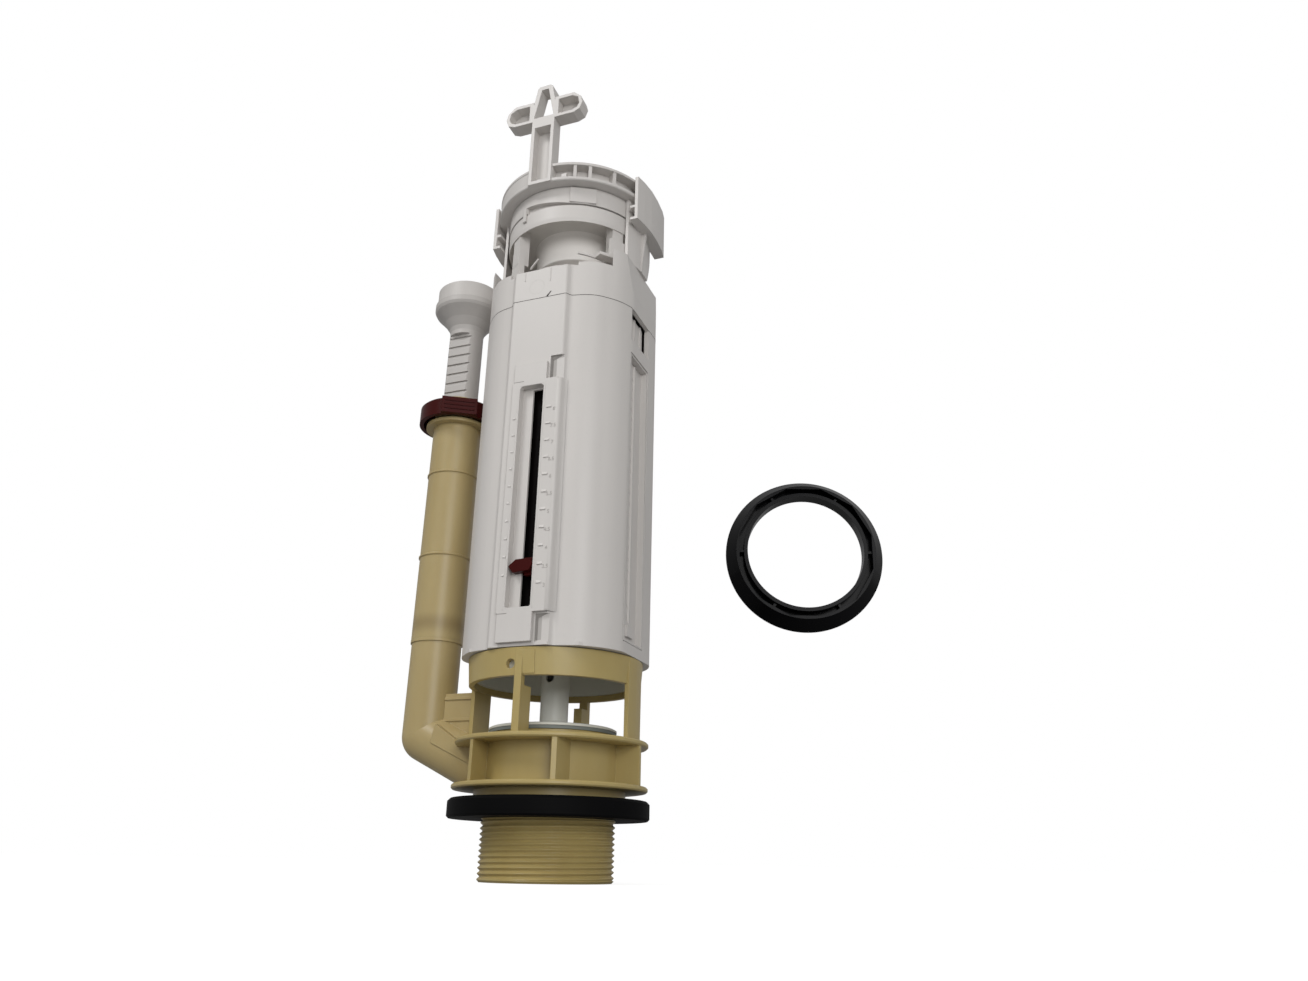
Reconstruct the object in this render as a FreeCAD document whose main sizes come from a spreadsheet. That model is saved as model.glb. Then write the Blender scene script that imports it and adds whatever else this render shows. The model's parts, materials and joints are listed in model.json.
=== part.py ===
import FreeCAD, Part
import Sketcher
import math
import os
import re

# Flush valve for a toilet cistern.
# Frame: millimetres, +Z up along the valve's axis, -Y the side with the front scale,
# -X the side with the overflow pipe. The origin is on the axis at the underside of the
# sealing washer, which is the plane of the cistern's floor.

doc = FreeCAD.newDocument("flush_valve")
sheet = doc.addObject("Spreadsheet::Sheet", "sizes")

DRIVING = [
    # outlet and washer
    ("thread_radius", 29.8, "outside of the G2 outlet thread"),
    ("thread_length", 25.8, "thread below the cistern floor"),
    ("bore_radius", 25.6, "water way through the outlet"),
    ("washer_radius", 45.0, "outside of the rubber washer"),
    ("washer_thick", 8.2, "washer before it is squeezed"),
    ("washer_clear", 0.15, "between the washer's hole and the plain neck in it"),
    ("thread_relief", 0.4, "plain neck in the washer, inside the thread's outside"),
    ("neck_radius", 34.0, "step that presses on the washer"),
    # base plates, drum and ribs
    ("neck_height", 3.9, "from the washer to the lower plate"),
    ("plate_thick", 2.2, "both round plates"),
    ("plate_radius", 44.0, "both round plates"),
    ("plate_gap", 17.1, "between the two plates"),
    ("drum_radius", 32.0, "wall between the plates"),
    ("rib_spread", 19.6, "ribs beside the front and back, from the axis"),
    ("rib_thick", 2.0, "ribs between the plates"),
    ("seat_radius", 28.4, "outside of the raised valve seat"),
    ("seat_width", 1.6, "flat top of the seat"),
    ("seat_rise", 2.9, "seat above the upper plate"),
    # cage
    ("cage_radius", 40.8, "outside of the ring on the posts"),
    ("ring_wall", 2.4, "wall of that ring"),
    ("window_height", 24.0, "open height between plate and ring"),
    ("ring_height", 12.0, "ring on the posts"),
    ("ring_draft", 1.0, "ring is this much smaller at its lower edge"),
    ("post_thick", 3.3, "front and back posts"),
    ("post_depth", 10.0, "front and back posts, towards the axis"),
    ("back_post_thick", 4.2, "back post"),
    ("post_shift", 1.65, "front and back posts, from the middle plane"),
    ("side_post_half", 7.6, "half width of the two side posts"),
    ("ring_hole_radius", 2.1, "hole in the ring beside the front post"),
    ("ring_hole_shift", 2.6, "hole from the middle plane"),
    # overflow pipe
    ("pipe_offset", 66.7, "pipe axis from the valve axis"),
    ("pipe_radius", 12.7, "outside of the pipe"),
    ("socket_radius", 12.2, "outside of the elbow's socket"),
    ("pipe_wall", 1.8, "wall of the pipe"),
    ("socket_top", 84.0, "upper end of the elbow's socket"),
    ("bead_height", 0.6, "raised rings around the pipe"),
    ("bead_width", 1.4, "raised rings around the pipe"),
    ("bead_low", 127.0, "first ring on the standpipe"),
    ("bead_high", 172.0, "second ring on the standpipe"),
    ("elbow_height", 38.4, "where the sloping channel meets the pipe's axis"),
    ("channel_slope", 25.7, "fall of the channel, degrees"),
    ("web_thick", 1.4, "webs between pipe and cage"),
    ("standpipe_top", 215.0, "upper end of the standpipe"),
    ("flange_low", 199.4, "flange under the collar"),
    ("flange_thick", 1.8, "flange under the collar"),
    ("flange_radius", 16.6, "flange under the collar"),
    ("spigot_depth", 20.0, "standpipe's end inside the socket"),
    ("pipe_clear", 0.15, "radial gap in the socket"),
    ("oring_thick", 1.2, "cord of the standpipe's ring seal"),
    # collar
    ("collar_radius", 20.4, "outside of the locking collar"),
    ("collar_wall", 2.2, "rim of the collar"),
    ("collar_height", 9.4, "collar"),
    ("collar_top_thick", 1.6, "top disc of the collar"),
    ("collar_clear", 0.3, "around the standpipe"),
    ("clasp_width", 18.5, "flat clasp on the collar"),
    ("clasp_angle", -58.0, "clasp round the pipe's axis"),
    # riser and funnel
    ("riser_radius", 9.2, "outside of the sliding riser"),
    ("riser_wall", 1.6, "wall of the riser"),
    ("riser_low", 150.0, "lower end of the riser"),
    ("cone_low", 259.0, "start of the funnel"),
    ("cone_height", 12.6, "funnel"),
    ("funnel_radius", 18.7, "outside of the funnel's mouth"),
    ("mouth_height", 3.6, "straight part above the cone"),
    ("rim_height", 9.8, "ring on the funnel"),
    ("rim_step", 1.0, "ring is this much smaller than the mouth"),
    ("ladder_depth", 2.5, "flat with the notches, into the riser"),
    ("notch_pitch", 5.6, "between the height notches"),
    ("notch_count", 7, "height notches"),
    ("notch_first", 255.0, "top of the highest notch"),
    ("notch_depth", 0.9, "notches into the flat"),
    # casing
    ("casing_low", 70.0, "lower lip of the casing"),
    ("seam_height", 246.0, "seam between casing and cap"),
    ("front_half", 14.5, "half width of the flat front"),
    ("front_depth", 41.0, "flat front from the axis"),
    ("flute_x", 16.2, "hollow beside the front"),
    ("flute_y", 38.2, "hollow beside the front"),
    ("ridge_x", 27.5, "ridge beside the hollow"),
    ("ridge_y", 35.6, "ridge beside the hollow"),
    ("corner_x", 37.3, "corner to the flat side"),
    ("corner_y", 25.3, "corner to the flat side"),
    ("side_x", 41.0, "flat sides from the axis"),
    ("side_half", 17.0, "half width of the flat sides"),
    ("front_round", 1.2, "rounding beside the flat front"),
    ("flute_round", 2.6, "rounding of the hollow"),
    ("ridge_round", 20.0, "rounding of the ridge"),
    ("corner_round", 26.0, "rounding of the corner"),
    ("side_round", 12.0, "rounding beside the flat side"),
    ("shell_wall", 2.2, "casing and cap wall"),
    ("shell_draft", 0.5, "casing is this much smaller at its lower lip"),
    # front scale
    ("panel_half", 12.2, "left edge of the scale panel"),
    ("panel_right", 13.5, "right edge of the scale panel"),
    ("panel_proud", 1.5, "scale panel in front of the casing"),
    ("slot_half", 6.3, "half width of the slot"),
    ("slot_low", 87.0, "lower end of the slot"),
    ("slot_high", 196.5, "upper end of the slot"),
    ("panel_margin", 2.4, "scale panel above and below the slot"),
    ("tab_low", 71.6, "lower end of the panel's lower tab"),
    ("tab_high", 208.5, "upper end of the panel's upper tab"),
    ("tab_right", 7.4, "right edge of both tabs"),
    ("tray_depth", 4.0, "slot's floor behind the panel's face"),
    ("tray_wall", 1.2, "floor and sides of the slot"),
    ("slit_left", 0.4, "open slit in the slot's floor"),
    ("slit_right", 5.5, "open slit in the slot's floor"),
    ("clip_width", 7.6, "clip windows beside the tabs"),
    ("clip_height", 12.6, "clip windows beside the tabs"),
    ("fit_gap", 0.2, "clearance of pieces let into openings"),
    ("slide_gap", 0.3, "clearance of sliding pieces"),
    ("slider_height", 106.3, "middle of the full flush slider"),
    ("slider_tall", 6.3, "full flush slider"),
    ("liner_thick", 0.8, "dark strip behind the slit"),
    # side scale
    ("side_slot_low", 75.0, "lower end of the side recess"),
    ("side_slot_front", 17.0, "front edge of the side recess"),
    ("side_slot_back", 6.5, "back edge of the side recess"),
    ("side_slot_depth", 3.6, "side recess"),
    ("side_tray_wall", 1.4, "floor of the side recess"),
    ("half_slider_tall", 8.4, "half flush slider"),
    ("half_slider_wide", 12.0, "half flush slider"),
    # float chamber
    ("skirt_radius", 37.1, "skirt inside the cage ring"),
    ("skirt_low", 60.4, "lower edge of the skirt"),
    ("chamber_radius", 33.0, "float chamber in the casing"),
    ("chamber_wall", 1.6, "float chamber"),
    ("chamber_floor", 78.0, "underside of the chamber's floor"),
    ("chamber_top", 196.0, "upper edge of the chamber"),
    # stem, seal and floats
    ("stem_radius", 6.5, "hollow valve stem"),
    ("stem_wall", 1.5, "valve stem"),
    ("stem_clear", 0.6, "around the stem in the chamber's floor"),
    ("stem_hole_height", 62.2, "drain hole through the stem"),
    ("stem_hole_radius", 2.0, "drain hole through the stem"),
    ("seal_radius", 29.3, "flat seal and its plate"),
    ("seal_thick", 1.5, "flat rubber seal"),
    ("seal_plate_thick", 1.3, "plate on the seal"),
    ("retainer_radius", 22.0, "disc under the seal"),
    ("retainer_thick", 1.8, "disc under the seal"),
    ("float_wall", 1.8, "walls of both floats"),
    ("float_gap", 1.6, "between floats and their neighbours"),
    ("main_float_low", 92.0, "underside of the full flush float"),
    ("main_float_tall", 52.0, "full flush float"),
    ("half_float_low", 158.2, "underside of the half flush float"),
    ("half_float_tall", 24.0, "half flush float"),
    # cap
    ("ledge_thick", 2.0, "ledge under the cup"),
    ("step_x", 19.0, "low front of the cap ends here"),
    # actuator cup
    ("cup_wall", 1.9, "wall of the cup"),
    ("cup_step", 1.4, "foot of the cup, inside its lower edge"),
    ("cup_foot_height", 8.2, "foot of the cup"),
    ("rod_radius", 4.0, "lift rod"),
    ("rod_clear", 0.3, "lift rod in its bush"),
    ("bush_radius", 8.0, "guide bush in the cup's floor"),
    ("rod_head_radius", 11.0, "head of the lift rod"),
    # bayonet ring
    ("bayonet_wall", 3.0, "wall of the ring"),
    ("bayonet_sleeve", 7.0, "sleeve of the ring inside the cup"),
    ("ramp_rise", 4.0, "height of the ramp at the hook"),
    # top ring
    ("top_radius", 44.0, "outside of the top ring"),
    ("flange_wall", 2.0, "the top ring's two flanges"),
    ("top_wall", 1.8, "walls and ribs of the top ring"),
    ("bracket_bulge", 2.8, "outer face of a bracket, swelling at its middle"),
    ("bracket_half", 19.0, "half width of the side brackets"),
    ("leg_half", 16.2, "half width of the legs"),
    # handle
    ("handle_x", -3.0, "middle of the handle"),
    ("handle_depth", 7.6, "front to back"),
    ("stem_half", 6.6, "half width of the handle's stem"),
    ("handle_wall", 1.9, "walls of the handle"),
    ("pad_reach", 22.8, "tip of a finger pad from the handle's middle"),
    ("arch_half", 3.6, "half width of the arch at its top"),
    # nut
    ("nut_radius", 40.0, "outside of the lock nut"),
    ("nut_bore", 29.3, "crest radius of the nut's thread"),
    ("nut_thick", 10.0, "lock nut"),
    ("nut_rim", 4.9, "how far the nut's sloping side runs in"),
    ("nut_wall", 1.9, "wall round the nut's thread"),
    ("nut_thread_length", 8.0, "straight length of the nut's thread"),
    ("nut_channel", 5.5, "depth of the nut's channel"),
    ("nut_sides", 12, "flats inside the nut's rim"),
    ("nut_x", 110.66, "middle of the nut's face, beside the valve"),
    ("nut_y", 52.2, "the nut's face behind the valve's axis"),
    ("nut_height", 131.15, "nut's middle above the floor"),
    ("nut_turn", 18.5, "angle of the nut's face from the front, degrees"),
]

# Heights and places that follow from the driving sizes.
DERIVED = {
    # upper end of the side recess
    "side_slot_high": "seam_height - 25.2",
    # lower end of the gap under the cap
    "side_gap_low": "seam_height - 17.6",
    # upper end of the valve stem
    "stem_top": "seam_height - 10",
    # upper edge of the cap
    "cap_top": "seam_height + 17",
    # cap beside its ridges
    "step_top": "seam_height + 19.6",
    # shoulders beside the cup
    "shoulder_top": "seam_height + 30",
    # shoulders start to lean in
    "shoulder_low": "seam_height + 9",
    # underside of the actuator cup
    "cup_low": "seam_height + 16",
    # start of the cup's cone
    "cup_cone_low": "cup_low + 23",
    # end of the cup's cone
    "cup_cone_high": "cup_low + 31.6",
    # upper edge of the cup
    "cup_top": "cup_low + 41.4",
    # top of the lift rod's head
    "rod_head_top": "cup_low + 27",
    # lower edge of the ring
    "bayonet_low": "cup_top + 0.8",
    # underside of the top ring
    "top_low": "bayonet_low + 10.6",
    # upper edge of the top ring
    "top_high": "top_low + 11.6",
    # underside of the side brackets
    "bracket_low": "top_low - 15.2",
    # underside of the finger pads
    "pad_low": "top_high + 30.2",
    # upper edge of the finger pads
    "pad_high": "pad_low + 13.6",
    # top of the arch
    "arch_top": "pad_high + 9.8",
    # inner wall of the top ring
    "inner_wall_radius": "top_radius - 5.4",
    # front and back edges of the side brackets
    "bracket_x": "top_radius - 1",
    # outside of the legs
    "leg_radius": "top_radius - 3.8",
    # inside of the legs
    "leg_inner": "leg_radius - 1.5",
    # flange of the cup
    "cup_radius": "top_radius - 6.2",
    # ring above the cup
    "bayonet_radius": "top_radius - 5.8",
    # lower part of the cup
    "cup_body_radius": "cup_radius - 4.1",
    # round opening of the cap
    "cap_opening": "cup_body_radius + 1.9",
    # ledge under the cup
    "ledge_radius": "cap_opening - 5.6",
    # shoulders at their top, from the axis
    "shoulder_edge": "leg_radius - 1.3",
    # shoulders begin here
    "shoulder_x": "leg_inner - 4.7",
    # front of the handle from the axis
    "handle_front": "top_radius + 0.6",
    "washer_top": "washer_thick",
    "lower_plate_low": "washer_thick + neck_height",
    "lower_plate_top": "lower_plate_low + plate_thick",
    "upper_plate_low": "lower_plate_top + plate_gap",
    "plate_top": "upper_plate_low + plate_thick",
    "seat_top": "plate_top + seat_rise",
    "ring_low": "plate_top + window_height",
    "ring_top": "ring_low + ring_height",
    "ring_inner": "cage_radius - ring_draft - ring_wall",
    "pipe_inner": "socket_radius - pipe_wall",
    "spigot_radius": "pipe_inner - pipe_clear",
    "flange_top": "flange_low + flange_thick",
    "collar_top": "flange_top + slide_gap + collar_height",
    "mouth_low": "cone_low + cone_height",
    "mouth_top": "mouth_low + mouth_height",
    "panel_y": "front_depth + panel_proud",
    "floor_y": "panel_y - tray_depth",
    "panel_low": "slot_low - panel_margin",
    "panel_high": "slot_high + panel_margin",
    "side_floor_x": "side_x - side_slot_depth",
    "cup_foot": "cup_low + cup_foot_height",
    "seal_top": "seat_top + seal_thick",
    "seal_plate_top": "seal_top + seal_plate_thick",
    "cup_shoulder": "cup_cone_high + 1.3 * cup_wall",
    "bayonet_top": "top_low - slide_gap",
}

for row, (alias, value, note) in enumerate(DRIVING, start=1):
    sheet.set("A%d" % row, alias)
    sheet.set("B%d" % row, str(value))
    sheet.set("C%d" % row, note)
    sheet.setAlias("B%d" % row, alias)
doc.recompute()
ALIASES = {alias for alias, value, note in DRIVING}


def bind(text):
    """Spell out derived names and point the driving ones at the sheet."""
    def spell(match):
        word = match.group(0)
        if word in DERIVED:
            return "(" + bind(DERIVED[word]) + ")"
        if word in ALIASES:
            return "sizes." + word
        return word
    return re.sub(r"[a-z][a-z_]*[a-z]", spell, str(text))


def number(text):
    return float(sheet.evalExpression(bind(text)))


def tie(item, prop, text):
    item.setExpression(prop, bind(text))


def place(item, x="0", y="0", z="0"):
    tie(item, "Placement.Base.x", x)
    tie(item, "Placement.Base.y", y)
    tie(item, "Placement.Base.z", z)
    return item


def cylinder(name, radius, low, high, x="0", y="0"):
    item = doc.addObject("Part::Cylinder", name)
    tie(item, "Radius", radius)
    tie(item, "Height", "(%s) - (%s)" % (high, low))
    return place(item, x, y, low)


def cone(name, radius_low, radius_high, low, high, x="0", y="0"):
    item = doc.addObject("Part::Cone", name)
    tie(item, "Radius1", radius_low)
    tie(item, "Radius2", radius_high)
    tie(item, "Height", "(%s) - (%s)" % (high, low))
    return place(item, x, y, low)


def block(name, x_low, x_high, y_low, y_high, z_low, z_high):
    item = doc.addObject("Part::Box", name)
    tie(item, "Length", "(%s) - (%s)" % (x_high, x_low))
    tie(item, "Width", "(%s) - (%s)" % (y_high, y_low))
    tie(item, "Height", "(%s) - (%s)" % (z_high, z_low))
    return place(item, x_low, y_low, z_low)


def fuse(name, *items):
    item = doc.addObject("Part::MultiFuse", name)
    item.Shapes = list(items)
    item.Refine = True
    return item


def cut(name, base, *tools):
    item = doc.addObject("Part::Cut", name)
    item.Base = base
    item.Tool = tools[0] if len(tools) == 1 else fuse(name + "_tools", *tools)
    item.Refine = True
    return item


def common(name, first, second):
    item = doc.addObject("Part::MultiCommon", name)
    item.Shapes = [first, second]
    item.Refine = True
    return item


def pipe(name, outer, inner, low, high, x="0", y="0"):
    """A round tube; its hole is cut a little long so that no skin is left."""
    solid = cylinder(name + "_solid", outer, low, high, x, y)
    hole = cylinder(name + "_hole", inner, "(%s) - 1" % low, "(%s) + 1" % high, x, y)
    return cut(name, solid, hole)


def turned(name, item, angle, x="0", y="0"):
    """The item turned about the vertical axis and then moved to x, y."""
    group = doc.addObject("Part::Compound", name)
    group.Links = [item]
    group.Placement = FreeCAD.Placement(
        FreeCAD.Vector(0, 0, 0), FreeCAD.Rotation(FreeCAD.Vector(0, 0, 1), 1.0))
    tie(group, "Placement.Rotation.Angle", angle)
    tie(group, "Placement.Base.x", x)
    tie(group, "Placement.Base.y", y)
    return group


def origin_plane(body, role):
    return [item for item in body.Origin.OriginFeatures if item.Role == role][0]


def sketch_polygon(body, name, role, points, height="0"):
    """A closed polygon on one of the body's origin planes, every corner bound to the sheet."""
    sketch = body.newObject("Sketcher::SketchObject", name)
    sketch.AttachmentSupport = [(origin_plane(body, role), "")]
    sketch.MapMode = "FlatFace"
    tie(sketch, "AttachmentOffset.Base.z", height)
    corners = [FreeCAD.Vector(number(x), number(y), 0) for x, y in points]
    count = len(corners)
    for index in range(count):
        sketch.addGeometry(Part.LineSegment(corners[index], corners[(index + 1) % count]))
    for index in range(count):
        sketch.addConstraint(Sketcher.Constraint("Coincident", index, 2, (index + 1) % count, 1))
    for index, corner in enumerate(corners):
        for kind, size, text in (("DistanceX", corner.x, points[index][0]),
                                 ("DistanceY", corner.y, points[index][1])):
            place_no = sketch.addConstraint(Sketcher.Constraint(kind, -1, 1, index, 1, size))
            tie(sketch, "Constraints[%d]" % place_no, text)
    return sketch


def revolved(name, points, x="0", y="0"):
    """A turned piece: points are radius and height pairs round its section."""
    body = doc.addObject("PartDesign::Body", name)
    sketch = sketch_polygon(body, name + "_section", "XZ_Plane", points)
    turn = body.newObject("PartDesign::Revolution", name + "_turn")
    turn.Profile = sketch
    turn.ReferenceAxis = (sketch, ["V_Axis"])
    turn.Angle = 360
    return place(body, x, y)


def prism(name, role, points, low, high, taper=None):
    """A polygon on an origin plane, padded from low to high along the plane's normal."""
    body = doc.addObject("PartDesign::Body", name)
    sketch = sketch_polygon(body, name + "_outline", role, points, low)
    pad = body.newObject("PartDesign::Pad", name + "_pad")
    pad.Profile = sketch
    tie(pad, "Length", "(%s) - (%s)" % (high, low))
    if taper:
        tie(pad, "TaperAngle", taper)
    return body


def mirrored_x(points):
    """A right half, listed from the middle line round to the middle line, made whole."""
    return points + [("0 - (%s)" % x, y) for x, y in reversed(points)]


def shell_outline(inset="0"):
    """The casing's section seen from above, each wall moved inwards by the inset."""
    right = [
        ("front_half - 0.4 * (%s)" % inset, "0 - front_depth + (%s)" % inset),
        ("flute_x - 0.4 * (%s)" % inset, "0 - flute_y + (%s)" % inset),
        ("ridge_x - 0.5 * (%s)" % inset, "0 - ridge_y + 0.9 * (%s)" % inset),
        ("corner_x - 0.85 * (%s)" % inset, "0 - corner_y + 0.5 * (%s)" % inset),
        ("side_x - (%s)" % inset, "0 - side_half + 0.2 * (%s)" % inset),
    ]
    back = [(x, "0 - (%s)" % y) for x, y in reversed(right)]
    return mirrored_x(right + back)


def eased(name, item):
    """Rounds the upright edges between the walls of the casing's section."""
    doc.recompute()
    places = [
        ("front_half", "front_depth", "front_round"),
        ("flute_x", "flute_y", "flute_round"),
        ("ridge_x", "ridge_y", "ridge_round"),
        ("corner_x", "corner_y", "corner_round"),
        ("side_x", "side_half", "side_round"),
    ]
    rounds = []
    for index, edge in enumerate(item.Shape.Edges, start=1):
        low, high = edge.Vertexes[0].Point, edge.Vertexes[-1].Point
        if abs(high.z - low.z) < 2:
            continue
        for x, y, radius in places:
            apart = math.hypot(abs(high.x) - number(x), abs(high.y) - number(y))
            if apart < 1.2:
                rounds.append((index, number(radius), number(radius)))
                break
    made = doc.addObject("Part::Fillet", name)
    made.Base = item
    made.Edges = rounds
    return made


NODES = []


def node(name, item):
    """Register a finished piece; its label names its file."""
    item.Label = name
    NODES.append(item)
    return item


def make_outlet_base():
    """Threaded spigot, neck, two round plates, drum, ribs and the raised valve seat."""
    turned_part = revolved("outlet_turned", [
        ("bore_radius", "0 - thread_length"),
        ("thread_radius - 0.9", "0 - thread_length"),
        ("thread_radius", "0.9 - thread_length"),
        ("thread_radius", "0"),
        ("thread_radius - thread_relief", "0"),
        ("thread_radius - thread_relief", "washer_top"),
        ("neck_radius", "washer_top"),
        ("neck_radius", "lower_plate_low"),
        ("plate_radius - 0.6", "lower_plate_low"),
        ("plate_radius", "lower_plate_low + 0.6"),
        ("plate_radius", "lower_plate_top - 0.6"),
        ("plate_radius - 0.6", "lower_plate_top"),
        ("drum_radius", "lower_plate_top"),
        ("drum_radius", "upper_plate_low"),
        ("plate_radius - 0.6", "upper_plate_low"),
        ("plate_radius", "upper_plate_low + 0.6"),
        ("plate_radius", "plate_top - 0.6"),
        ("plate_radius - 0.6", "plate_top"),
        ("seat_radius", "plate_top"),
        ("seat_radius", "seat_top"),
        ("seat_radius - seat_width", "seat_top"),
        ("bore_radius", "seat_top - 1.4"),
    ])
    ribs = []
    for side, middle in (("right", "rib_spread"), ("left", "0 - rib_spread")):
        ribs.append(block("rib_" + side, "(%s) - rib_thick / 2" % middle,
                          "(%s) + rib_thick / 2" % middle, "0 - plate_radius", "plate_radius",
                          "lower_plate_top", "upper_plate_low"))
    ribs.append(block("rib_side", "0", "plate_radius", "0 - rib_thick / 2", "rib_thick / 2",
                      "lower_plate_top", "upper_plate_low"))
    zone = pipe("rib_zone", "plate_radius - 0.8", "drum_radius - 0.5", "lower_plate_top",
                "upper_plate_low")
    ribs_in_zone = common("ribs_trimmed", fuse("ribs", *ribs), zone)
    channel = block("channel_way", "0 - plate_radius", "0 - bore_radius + 2",
                    "2.6 - socket_radius", "socket_radius - 2.6",
                    "lower_plate_top + 0.8", "upper_plate_low - 3")
    node("outlet_base", cut("outlet_base", fuse("outlet_solid", turned_part, ribs_in_zone),
                            channel))


def make_cage():
    """Ring on four posts above the upper plate, open between them."""
    ring = revolved("cage_ring", [
        ("ring_inner", "ring_low"),
        ("cage_radius - ring_draft", "ring_low"),
        ("cage_radius", "ring_top"),
        ("ring_inner", "ring_top"),
    ])
    posts = []
    posts.append(block("post_front", "post_shift - post_thick / 2",
                       "post_shift + post_thick / 2", "0 - cage_radius",
                       "post_depth - cage_radius", "plate_top", "ring_top"))
    posts.append(block("post_back", "0 - back_post_thick", "0", "cage_radius - post_depth",
                       "cage_radius", "plate_top", "ring_top"))
    for side, low, high in (("right", "ring_inner + 0.6", "cage_radius"),
                            ("left", "0 - cage_radius", "0 - ring_inner - 0.6")):
        posts.append(block("post_" + side, low, high, "0 - side_post_half", "side_post_half",
                           "plate_top", "ring_top"))
    round_zone = cone("post_zone", "cage_radius - 0.2", "cage_radius", "plate_top", "ring_top")
    trimmed = common("posts_trimmed", fuse("posts", *posts), round_zone)
    pad = block("ring_pad", "post_shift", "post_shift + post_thick / 2 + 5.4",
                "0 - cage_radius - 0.3", "ring_wall - cage_radius", "ring_low + 0.6",
                "ring_top - 1.4")
    pad_zone = cone("ring_pad_zone", "cage_radius - ring_draft + 0.3", "cage_radius + 0.3",
                    "ring_low", "ring_top")
    body = fuse("cage_body", ring, trimmed, common("ring_pad_trimmed", pad, pad_zone))
    core = cylinder("cage_core", "ring_inner", "ring_low - 4", "ring_top + 1")
    hole = cylinder("ring_hole", "ring_hole_radius", "0 - cage_radius - 2", "0 - ring_inner + 3")
    hole.Placement = FreeCAD.Placement(
        FreeCAD.Vector(0, 0, 0), FreeCAD.Rotation(FreeCAD.Vector(1, 0, 0), 90))
    tie(hole, "Height", "cage_radius")
    tie(hole, "Placement.Base.x", "0 - ring_hole_shift")
    tie(hole, "Placement.Base.y", "0")
    tie(hole, "Placement.Base.z", "ring_low + ring_height * 0.42")
    node("cage", cut("cage", body, core, hole))


def sloping_way(name, radius, stretch):
    """The elbow's channel: upright pipe, ball at the bend, and a pipe falling to the drum."""
    upright = cylinder(name + "_upright", radius, "elbow_height", "socket_top + %s" % stretch,
                       "0 - pipe_offset")
    ball = doc.addObject("Part::Sphere", name + "_ball")
    tie(ball, "Radius", radius)
    place(ball, "0 - pipe_offset", "0", "elbow_height")
    fall = doc.addObject("Part::Cylinder", name + "_fall")
    tie(fall, "Radius", radius)
    tie(fall, "Height", "pipe_offset - drum_radius + 6")
    fall.Placement = FreeCAD.Placement(
        FreeCAD.Vector(0, 0, 0), FreeCAD.Rotation(FreeCAD.Vector(0, 1, 0), 100))
    tie(fall, "Placement.Rotation.Angle", "90deg + channel_slope * 1deg")
    place(fall, "0 - pipe_offset", "0", "elbow_height")
    return [upright, ball, fall]


def make_overflow_elbow():
    """Socket of the overflow pipe, sloping channel into the drum, and webs to the cage."""
    fall = "tan(channel_slope * 1deg)"
    lip = cylinder("socket_lip", "socket_radius + bead_height", "socket_top - bead_width",
                   "socket_top", "0 - pipe_offset")
    half = "socket_radius + 0.5"
    cheeks = prism("channel_cheeks", "XZ_Plane", [
        ("0 - plate_radius - 13", "elbow_height - (pipe_offset - plate_radius - 13) * %s" % fall),
        ("0 - plate_radius - 11.2", "elbow_height + 3.9"),
        ("0 - plate_radius", "plate_top + 1.6"),
        ("0 - plate_radius + 1.4", "plate_top"),
        ("0 - drum_radius + 1", "upper_plate_low"),
        ("0 - drum_radius + 1", "elbow_height - (pipe_offset - drum_radius) * %s" % fall),
    ], "0 - (%s)" % half, half)
    web_low = "plate_top + 10.6"
    webs = [
        block("web_low", "socket_radius - pipe_offset - 1", "0.4 - cage_radius", "-6", "6",
              web_low, "(%s) + web_thick" % web_low),
        block("web_high", "socket_radius - pipe_offset - 1", "0.4 - cage_radius", "-6", "6",
              "(%s) + 10" % web_low, "(%s) + 10 + web_thick" % web_low),
        block("web_front", "socket_radius - pipe_offset - 1", "0.4 - cage_radius",
              "-5.4", "web_thick - 5.4", "plate_top", "ring_low - 0.4"),
        block("web_back", "socket_radius - pipe_offset - 1", "0.4 - cage_radius",
              "5.4 - web_thick", "5.4", "plate_top", "ring_low - 0.4"),
    ]
    solid = fuse("elbow_solid", lip, cheeks, *(sloping_way("outer_way", "socket_radius", "0")
                                               + webs))
    drum = cylinder("elbow_drum", "drum_radius", "0", "plate_top")
    plates = [
        cylinder("elbow_lower_plate", "plate_radius + 0.05", "0", "lower_plate_top"),
        cylinder("elbow_upper_plate", "plate_radius + 0.05", "upper_plate_low", "plate_top"),
    ]
    post_face = block("elbow_post", "0 - cage_radius", "0", "-40", "40", "plate_top",
                      "ring_top")
    ways = sloping_way("inner_way", "socket_radius - pipe_wall", "1")
    node("overflow_elbow", cut("overflow_elbow", solid, drum, post_face, *(plates + ways)))


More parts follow.
